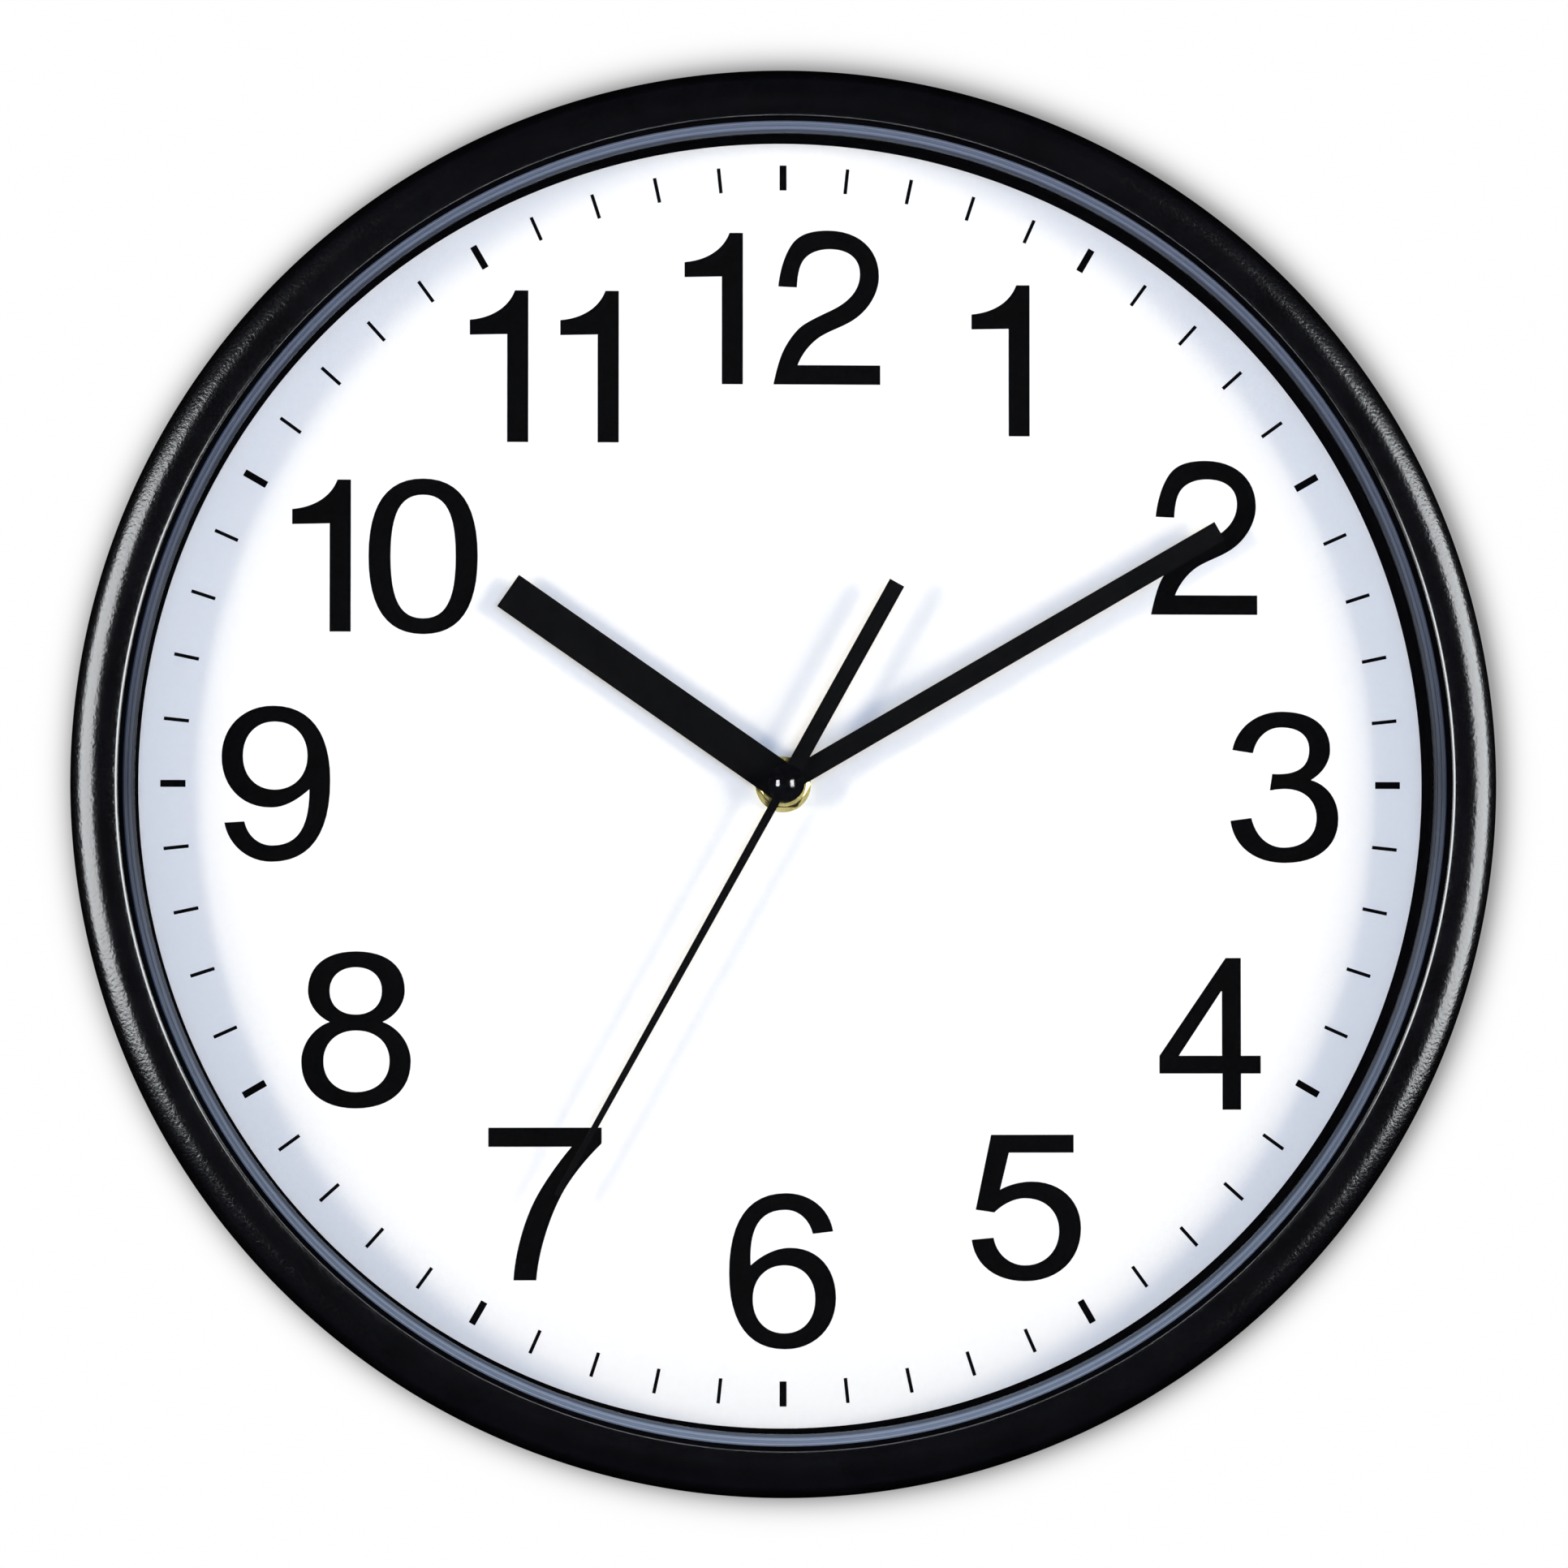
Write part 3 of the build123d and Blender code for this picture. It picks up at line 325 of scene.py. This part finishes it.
def through(a, b, c, steps):
    """Points on the circle through three points, from a to c."""
    ax, ay, bx, by, cx, cy = *a, *b, *c
    d = 2 * (ax * (by - cy) + bx * (cy - ay) + cx * (ay - by))
    a2, b2, c2 = ax * ax + ay * ay, bx * bx + by * by, cx * cx + cy * cy
    ox = (a2 * (by - cy) + b2 * (cy - ay) + c2 * (ay - by)) / d
    oy = (a2 * (cx - bx) + b2 * (ax - cx) + c2 * (bx - ax)) / d
    first, middle, last = (math.degrees(math.atan2(p[1] - oy, p[0] - ox)) for p in (a, b, c))
    if not min(first, last) <= middle <= max(first, last):
        last += 360 if last < first else -360
    r = math.hypot(ax - ox, ay - oy)
    return arc((ox, oy), (r, r), first, last, steps)


def fall(width, drop, away):
    """How far a circle that falls by drop over width has fallen at a distance from its highest point."""
    radius = (width ** 2 + drop ** 2) / (2 * drop)
    return radius - math.sqrt(radius ** 2 - away ** 2)


def turned_ring(bm, point, segments):
    """The vertices of a point (radius, level) turned about the hands' axis: a ring, or one on the axis."""
    radius, level = point
    angles = [2 * math.pi * i / segments for i in range(1 if radius < ON_AXIS else segments)]
    return [bm.verts.new((radius * math.sin(a) * MM, -level * MM, radius * math.cos(a) * MM)) for a in angles]


def lathe(name, body, runs, segments=384, sharp=35):
    """A solid of revolution about the hands' axis, from runs of (look, points) that follow on."""
    mesh = bpy.data.meshes.new(name)
    bm = bmesh.new()
    looks = list(dict.fromkeys(look for look, _ in runs))
    rings, tones = [], []
    for look, points in runs:
        for point in points:
            if rings and math.dist(point, rings[-1][0]) < SAME_POINT:
                continue
            if rings:
                tones.append(looks.index(look))
            rings.append((point, turned_ring(bm, point, segments)))
    pairs = list(zip(rings, rings[1:]))
    if rings[0][0][0] > ON_AXIS:
        pairs.append((rings[-1], rings[0]))
        tones.append(tones[-1])
    for ((_, low), (_, high)), tone in zip(pairs, tones):
        for i in range(segments):
            j = (i + 1) % segments
            corners = [low[i % len(low)], low[j % len(low)], high[j % len(high)], high[i % len(high)]]
            face = bm.faces.new(list(dict.fromkeys(corners)))
            face.material_index = tone
            face.smooth = True
    bmesh.ops.recalc_face_normals(bm, faces=bm.faces)
    for edge in bm.edges:
        if len(edge.link_faces) == 2 and edge.calc_face_angle() > math.radians(sharp):
            edge.smooth = False
    bm.to_mesh(mesh)
    bm.free()
    made = bpy.data.objects.new(name, mesh)
    scene.collection.objects.link(made)
    for look in looks:
        mesh.materials.append(look.mat)
    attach(made, body)
    return made


def frame_outline():
    """The frame's section as runs of (look, points): outside, polished edge, groove, stepped lip and rear."""
    outer_r, front = cad_high.x / MM, -cad_low.y / MM
    crest_r, shoulder, foot = 145.7, 34.8, 0.5
    side_draft, inner_run, inner_drop = 1.1, 2.8, 0.45
    levels = (foot, *range(4, 33, 4), shoulder)
    bead = [(149.6, 0), (150.9, 0)]
    bead += [(outer_r - fall(shoulder - foot, side_draft, shoulder - t), t) for t in levels]
    bead += arc((crest_r, shoulder), (outer_r - crest_r, front - shoulder), 0, 90, 36)[1:]
    bead += [(crest_r - d, front - fall(inner_run, inner_drop, d)) for d in (0.6, 1.2, 1.8, 2.3, inner_run)]
    groove_r, groove_top, lip_r, lip_level = 142.2, 40.4, 141.3, 39.0
    edge = through((142.9, 41.55), (142.35, 41.1), (groove_r, groove_top), 8)
    groove = [(groove_r, groove_top), (groove_r, lip_level), (lip_r, lip_level)]
    lip = through((lip_r, lip_level), (140.85, 39.35), (140.3, 38.9), 8)
    lip += through((140.3, 38.9), (139.85, 39.05), (139.4, 38.5), 6)
    inner_r, glass_seat, glass_r, hollow_r = 138.8, 36.4, 142.0, 143.8
    low_step = through((139.4, 38.5), (138.95, 38.15), (inner_r, 37.6), 6)
    rear = [(inner_r, glass_seat), (glass_r, glass_seat), (glass_r, 20.1), (hollow_r, 20.1), (hollow_r, 38.8)]
    rear += through((hollow_r, 38.8), (147.2, 39.6), (149.6, 34.0), 8)
    # the low step takes a darker copy of the lip's tone: painted shade
    return [(bead_plastic(), bead), (polished_black("edge_gloss", 0.18, 1.0), edge), (MATT_BLACK, groove),
            (lip_plastic_painted_light("frame_lip_painted_light", 1.0), lip), (lip_plastic_painted_light("frame_low_step_painted_shade", 0.45), low_step),
            (MATT_BLACK, [(inner_r, glass_seat + 0.1)]), (BACK_BLACK, rear)]


def ring_outline():
    """The section of the black wall between the dial and the glass."""
    low_r, high_r, outer_r, top = 138.5, 138.8, 141.6, 34.4
    return [(MATT_BLACK, [(low_r, DIAL_FRONT), (outer_r, DIAL_FRONT), (outer_r, top), (high_r, top)])]


def cap_outline():
    """The section of the hands' cap: a low edge under a shallow dome."""
    bottom = -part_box("centre_cap")[1].y / MM
    radius, edge, dome_r = 4.0, 0.3, 7.3
    dome = []
    for i in range(24, -1, -1):
        r = radius * math.sin(i * math.pi / 48)
        rise = math.sqrt(dome_r ** 2 - r ** 2) - math.sqrt(dome_r ** 2 - radius ** 2)
        dome.append((r, bottom + edge + rise))
    return [(polished_black("cap_gloss", 0.06), [(0, bottom), (radius, bottom)] + dome)]


ON_AXIS, SAME_POINT = 1e-6, 1e-4        # mm
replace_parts(lathe("frame_moulding", "case", frame_outline()), "frame")
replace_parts(lathe("inner_wall", "case", ring_outline()), "spacer_ring")
cap = lathe("cap_dome", "seconds", cap_outline(), 96)
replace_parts(cap, "centre_cap")


# ---------------------------------------------------------------- dial print
# Numerals in units of a 187th of their height. (x, y) is a corner between straight lines, (x, y, a) is smooth
# and travels at the angle a, and (x, y, a, b) arrives at a and leaves at b, where None is a straight line.
DIGITS = {
    "0": [
        [(0, 96, 90), (67, 191.5, 0), (134, 96, -90), (67, 0, 180)],
        [(27, 95.5, -90), (67, 19.5, 0), (107, 95.5, 90), (67, 171.5, 180)],
    ],
    "1": [
        [(46, 0), (72, 0), (72, 187), (55.5, 187, None, -110), (0, 150.5, -175, None), (0, 132),
         (46, 133)],
    ],
    "2": [
        [(6, 121, None, 84), (22, 172, 57), (68, 190.5, 0), (130.5, 134, -90), (103, 83, -143),
         (60, 60.5, -150), (30, 24, -110, None), (132, 24), (132, 0), (0, 0, None, 78), (12, 41, 65),
         (33, 70.5, 42), (70, 91, 25), (107, 137, 90), (70, 167.5, 180), (39, 156, -132),
         (29, 120, -93, None)],
    ],
    "3": [
        [(2.5, 139.5, None, 79), (64, 187, 0), (124, 140, -90), (100, 102.5, -150, -15), (134, 55, -90),
         (67, 0, 180), (0, 52, 97, None), (26, 55.5, None, -77), (66, 19, 0), (107, 56, 90),
         (68, 91.5, 180), (49, 89.5, -170, None), (52, 110, None, -4), (98, 140, 90), (63, 167.5, 180),
         (28, 135.5, -102, None)],
    ],
    "4": [
        [(78, 0), (101, 0), (101, 44.5), (125.5, 44.5), (125.5, 66.5), (101, 66.5), (101, 187),
         (82, 187), (0, 66.5), (0, 44.5), (78, 44.5)],
        [(77.5, 66.5), (24, 66.5), (76.5, 146), (77.5, 146)],
    ],
    "5": [
        [(24, 180), (126, 180), (126, 158), (46, 158), (35, 112.5, None, 30), (74, 122.5, 0),
         (135, 65, -90), (66, 0, 180), (0, 51, 97, None), (27, 53.5, None, -80), (66, 19.5, 0),
         (108, 62, 90), (66, 102, 180), (28, 84.5, -135, None), (5, 88)],
    ],
    "6": [
        [(129, 145, None, 99), (71, 192, 180), (1, 94, -90), (70, 0.5, 0), (132.5, 63, 90),
         (76, 125, 180), (27.5, 103.5, -137, 93), (70, 171.5, 0), (104, 142, -76, None)],
        [(30, 62, -90), (69, 20, 0), (107, 62, 90), (69, 103.5, 180)],
    ],
    "7": [
        [(0, 163.5), (102, 163.5, None, -130), (58, 100, -118), (31, 0, -93, None), (59, 0, None, 86),
         (90, 105, 62), (139, 167.5, 44, None), (139, 187), (0, 187)],
    ],
    "8": [
        [(67, 193, 0), (127, 145, -90), (100, 106.5, -155, -20), (134.5, 58, -90), (67, 0.5, 180),
         (0.5, 58, 90), (35, 106.5, 20, 155), (8.5, 145, 90)],
        [(35, 144.5, -90), (67, 115.5, 0), (99, 144.5, 90), (67, 173.5, 180)],
        [(27.5, 58.5, -90), (67, 20.5, 0), (108.5, 58.5, 90), (67, 96, 180)],
    ],
    "9": [
        [(63, 191.5, 180), (0, 129, -90), (60, 66.5, 0), (107.5, 89, 42, -90), (62, 20, 180),
         (28, 49.5, 102, None), (3.5, 48, None, -80), (61, 0, 0), (133, 100, 90)],
        [(26, 130, -90), (65, 88.5, 0), (105, 130, 90), (65, 172, 180)],
    ],
}
UNIT = 32.75 / 187      # mm
# each digit on the dial: its left edge and its foot, mm from the hands' axis
PLACES = [("1", -21.3, 86.4), ("2", -2.1, 86.4), ("1", 40.8, 75.4), ("2", 79.7, 36.9), ("3", 96.9, -16.8),
          ("4", 81.4, -70.1), ("5", 40.7, -107.0), ("6", -11.8, -121.6), ("7", -63.4, -106.6),
          ("8", -103.6, -69.8), ("9", -120.7, -16.8), ("1", -105.7, 32.7), ("0", -89.3, 32.2),
          ("1", -67.6, 73.7), ("1", -48.1, 73.7)]
TENSION, SLIM = 0.58, 0.2       # a curve's pull towards its tangents' crossing, and the extra on uneven ones


def handles(start, end, leave, arrive):
    """The two middle control points of a cubic from start to end that leaves and arrives at these angles."""
    (x0, y0), (x1, y1) = start, end
    u, v = ((math.cos(math.radians(a)), math.sin(math.radians(a))) for a in (leave, arrive))
    dx, dy = x1 - x0, y1 - y0
    chord = math.hypot(dx, dy)
    cross = u[0] * v[1] - u[1] * v[0]
    first = last = 0.36 * chord
    if abs(cross) > 0.17:
        s, t = (dx * v[1] - dy * v[0]) / cross, (u[0] * dy - u[1] * dx) / cross
        if s > 0 and t > 0 and max(s, t) < 2.5 * chord:
            pull = TENSION + SLIM * min(0.6, max(s, t) / min(s, t) - 1)
            first, last = s * pull, t * pull
    return (x0 + u[0] * first, y0 + u[1] * first), (x1 - v[0] * last, y1 - v[1] * last)


def smooth_outline(contour, steps=12):
    """The contour's points, with a cubic curve between two nodes that state directions."""
    points = []
    for here, there in zip(contour, contour[1:] + contour[:1]):
        start, end = here[:2], there[:2]
        points.append(start)
        leave = here[-1] if len(here) > 2 else None
        arrive = there[2] if len(there) > 2 else None
        if leave is None or arrive is None:
            continue
        nodes_of_curve = (start, *handles(start, end, leave, arrive), end)
        for k in range(1, steps):
            f, g = k / steps, 1 - k / steps
            weights = (g ** 3, 3 * g * g * f, 3 * g * f * f, f ** 3)
            x, y = (sum(w * p[axis] for w, p in zip(weights, nodes_of_curve)) for axis in (0, 1))
            points.append((x, y))
    return points


INK_HALF = 0.02         # half of the print's thickness, mm


def ink(name, outlines, look):
    """Thin printed shapes on the dial's face, from outlines in mm. Inner outlines are holes."""
    curve = bpy.data.curves.new(name, "CURVE")
    curve.dimensions = "2D"
    curve.fill_mode = "BOTH"
    curve.extrude = INK_HALF * MM
    for outline in outlines:
        spline = curve.splines.new("POLY")
        spline.points.add(len(outline) - 1)
        for point, (x, z) in zip(spline.points, outline):
            point.co = (x * MM, z * MM, 0, 1)
        spline.use_cyclic_u = True
    drawn = bpy.data.objects.new(name + "_drawn", curve)
    scene.collection.objects.link(drawn)
    bpy.context.view_layer.update()
    mesh = bpy.data.meshes.new_from_object(drawn.evaluated_get(bpy.context.evaluated_depsgraph_get()))
    bpy.data.objects.remove(drawn)
    onto_dial = Matrix.Translation((0, -(DIAL_FRONT + INK_HALF) * MM, 0))
    mesh.transform(onto_dial @ Matrix.Rotation(math.pi / 2, 4, "X"))
    mesh.name = name
    mesh.materials.clear()
    mesh.materials.append(look.mat)
    made = bpy.data.objects.new(name, mesh)
    scene.collection.objects.link(made)
    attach(made, "case")
    return made


def numerals():
    outlines = []
    for digit, left, foot in PLACES:
        for contour in DIGITS[digit]:
            outlines.append([(left + x * UNIT, foot + y * UNIT) for x, y in smooth_outline(contour)])
    return outlines


def minute_marks(outer=133.8, length=5.4, wide=1.5, narrow=0.75):
    outlines = []
    for minute in range(60):
        half = (wide if minute % 5 == 0 else narrow) / 2
        a = math.radians(6 * minute)
        along, across = (math.sin(a), math.cos(a)), (math.cos(a), -math.sin(a))
        inner = outer - length
        corners = [(outer, -half), (outer, half), (inner, half), (inner, -half)]
        outlines.append([(r * along[0] + w * across[0], r * along[1] + w * across[1]) for r, w in corners])
    return outlines


INK = printed_ink()
ink("numerals", numerals(), INK)
ink("minute_marks", minute_marks(), INK)


# ---------------------------------------------------------------- stage
def stage_plane(name, size, place, turn, material):
    mesh = bpy.data.meshes.new(name)
    half = size / 2
    corners = [(-half, -half, 0), (half, -half, 0), (half, half, 0), (-half, half, 0)]
    mesh.from_pydata(corners, [], [(0, 1, 2, 3)])
    mesh.materials.append(material)
    made = bpy.data.objects.new(name, mesh)
    made.rotation_euler = turn
    made.location = place
    scene.collection.objects.link(made)
    return made


def stage_material(name, paint):
    mat = bpy.data.materials.new(name)
    mat.use_nodes = True
    mat.node_tree.nodes.clear()
    shade = Shade(mat.node_tree)
    shade.node("ShaderNodeOutputMaterial", {"Surface": paint(shade)})
    return mat


def floor_paint(shade):
    """Pale and even to the eye, and a matt pale floor to the light."""
    matt = shade.node("ShaderNodeBsdfDiffuse", {"Color": (0.8, 0.8, 0.79, 1)}).outputs[0]
    glow = shade.node("ShaderNodeEmission", {"Color": (*PALE, 1)}).outputs[0]
    return shade.mix(shade.seen(), matt, glow)


def wall_paint(shade):
    """White from the front, with a painted pool of soft shadow close round the rim, and clear from behind.
    Light from behind passes it only within the clock's outline."""
    spot = shade.node("ShaderNodeTexCoord").outputs["Object"]
    centre = (*PAINTED_SHADOW_CENTRE, 0)
    spread = shade.node("ShaderNodeVectorMath", {0: spot, 1: centre}, operation="DISTANCE").outputs["Value"]
    span = {"Value": spread, "From Min": PAINTED_SHADOW_START, "From Max": PAINTED_SHADOW_END}
    beyond = shade.node("ShaderNodeMapRange", span).outputs[0]
    # painted shadow: grey at the rim's outline fading to white further out, painted on the wall and not cast
    # by the lamps
    shadow = shade.node("ShaderNodeValToRGB", {0: beyond})
    ramp = shadow.color_ramp
    ramp.interpolation = "B_SPLINE"
    ramp.elements[0].color = (0.32, 0.32, 0.32, 1)
    ramp.elements[1].color = (1, 1, 1, 1)
    for place, level in ((0.14, 0.5), (0.3, 0.72), (0.5, 0.9), (0.72, 0.985)):
        ramp.elements.new(place).color = (level, level, level, 1)
    eye = shade.seen()
    front = shade.math("SUBTRACT", 1.0, shade.node("ShaderNodeNewGeometry").outputs["Backfacing"])
    shut = shade.math("GREATER_THAN", spread, PAINTED_SHADOW_START)
    solid = shade.math("ADD", shade.math("MULTIPLY", eye, front),
                       shade.math("MULTIPLY", shut, shade.math("SUBTRACT", 1.0, eye)))
    glow = shade.node("ShaderNodeEmission", {"Color": shadow.outputs[0], "Strength": eye}).outputs[0]
    return shade.mix(solid, shade.node("ShaderNodeBsdfTransparent").outputs[0], glow)


PALE = (0.84, 0.85, 0.86)
# the centre of the shadow painted on the wall round the rim, and the radii where it starts and where it has
# faded to white
PAINTED_SHADOW_CENTRE, PAINTED_SHADOW_START, PAINTED_SHADOW_END = (0.0029, 0.0014), 0.1555, 0.1655       # metres
FLOOR_DROP, WALL_GAP = 0.12, 0.0004
FLOOR_PAINT = stage_material("studio_floor", floor_paint)
WALL_PAINT = stage_material("studio_wall", wall_paint)
floor = stage_plane("floor", 8.0, (0, 0, cad_low.z - FLOOR_DROP), (0, 0, 0), FLOOR_PAINT)
floor.visible_glossy = False
stage_plane("wall", 3.0, (0, WALL_GAP, 0), (math.pi / 2, 0, 0), WALL_PAINT)


def softbox(name, direction, distance, size, power, color, diffuse=True, gloss=True):
    """A rectangular studio light on a direction (azimuth from the front, elevation), aimed at the clock.
    It can be kept out of matt surfaces or out of reflections."""
    az, el = (math.radians(a) for a in direction)
    place = Vector((math.sin(az) * math.cos(el), -math.cos(az) * math.cos(el), math.sin(el))) * distance
    light = bpy.data.lights.new(name, "AREA")
    light.shape = "RECTANGLE"
    light.size, light.size_y = size
    light.energy = power
    light.color = color
    made = bpy.data.objects.new(name, light)
    made.location = place
    made.rotation_euler = (-place).to_track_quat("-Z", "Y").to_euler()
    made.visible_diffuse = diffuse
    made.visible_glossy = gloss
    scene.collection.objects.link(made)
    return made


def reach(light, pieces, state="INCLUDE"):
    """Limits a light to these pieces, or with EXCLUDE keeps it off them."""
    group = bpy.data.collections.new(light.name + "_reach")
    for piece in pieces:
        group.objects.link(piece)
    for linked in group.collection_objects:
        linked.light_linking.link_state = state
    light.light_linking.receiver_collection = group


WARM, COOL, PLAIN = (1.0, 0.88, 0.65), (0.51, 0.67, 1.0), (0.95, 0.98, 1.0)
STRIP, GLINT = (1.4, 1.25), (0.3, 0.55)

# matt light: warm from both sides and cool from the front, which leaves cool shade beside the rim
softbox("left_key", (-40, 2), 1.5, (0.16, 0.4), 5.9, WARM, gloss=False)
softbox("right_key", (36, 2), 1.5, (0.16, 0.4), 5.6, WARM, gloss=False)
softbox("left_wrap", (-48, 3), 1.5, (0.42, 0.5), 5.6, WARM, gloss=False)
softbox("right_wrap", (46, 3), 1.5, (0.42, 0.5), 5.6, WARM, gloss=False)
softbox("front_fill", (0, 1.5), 1.7, (0.6, 0.6), 15.8, COOL, gloss=False)

# reflections: a broad band down each side of the bead, two glints on the cap and a sheen on the brass
reach(softbox("left_strip", (-66, 4), 1.5, STRIP, 57, PLAIN, diffuse=False), [cap], "EXCLUDE")
reach(softbox("right_strip", (66, 3), 1.5, STRIP, 57, PLAIN, diffuse=False), [cap], "EXCLUDE")
reach(softbox("cap_left", (-25, 0), 1.5, GLINT, 12, PLAIN, diffuse=False), [cap])
reach(softbox("cap_right", (23, 0), 1.5, GLINT, 12, PLAIN, diffuse=False), [cap])
fittings = [nodes[name] for name in ("threaded_bush", "bush_washer", "hex_nut")]
reach(softbox("brass_fill", (7, -4), 1.5, (0.5, 0.5), 0.9, PLAIN, diffuse=False), fittings)

# the back of the clock
softbox("back_left", (-142, 22), 1.6, (1.0, 1.0), 34, PLAIN)
softbox("back_right", (150, 30), 1.6, (1.0, 1.0), 26, PLAIN)


def studio_world():
    """A room that is dark in front of the clock and paler behind it, and plain pale to the eye."""
    world = bpy.data.worlds.new("studio")
    world.use_nodes = True
    world.node_tree.nodes.clear()
    shade = Shade(world.node_tree)
    toward = shade.node("ShaderNodeTexCoord").outputs["Generated"]
    depth = shade.node("ShaderNodeSeparateXYZ", {0: toward}).outputs[1]
    front_to_back = shade.node("ShaderNodeMapRange", {"Value": depth, "From Min": -1.0}).outputs[0]
    ramp = shade.node("ShaderNodeValToRGB", {0: front_to_back})
    front, back = ramp.color_ramp.elements
    front.color, back.color = (0.006, 0.007, 0.01, 1), (0.16, 0.17, 0.19, 1)
    ramp.color_ramp.elements.new(0.5).color = (0.03, 0.034, 0.055, 1)
    room = shade.node("ShaderNodeBackground", {"Color": ramp.outputs[0]}).outputs[0]
    plain = shade.node("ShaderNodeBackground", {"Color": (*PALE, 1)}).outputs[0]
    shade.node("ShaderNodeOutputWorld", {"Surface": shade.mix(shade.seen(), room, plain)})
    return world


scene.world = studio_world()

# ---------------------------------------------------------------- camera
AZIMUTH, ELEVATION, DISTANCE = -3.3, -1.8, 1.6       # degrees, degrees, metres
SENSOR, LENS = 36.0, 170.441                         # mm
target = Vector((0.0002, -DIAL_FRONT * MM, 0.0001))
az, el = math.radians(AZIMUTH), math.radians(ELEVATION)
away = Vector((math.sin(az) * math.cos(el), -math.cos(az) * math.cos(el), math.sin(el)))
camera = bpy.data.objects.new("camera", bpy.data.cameras.new("camera"))
camera.data.sensor_width = SENSOR
camera.data.lens = LENS
camera.data.clip_start = 0.05
camera.location = target + away * DISTANCE
camera.rotation_euler = (-away).to_track_quat("-Z", "Y").to_euler()
scene.collection.objects.link(camera)
scene.camera = camera
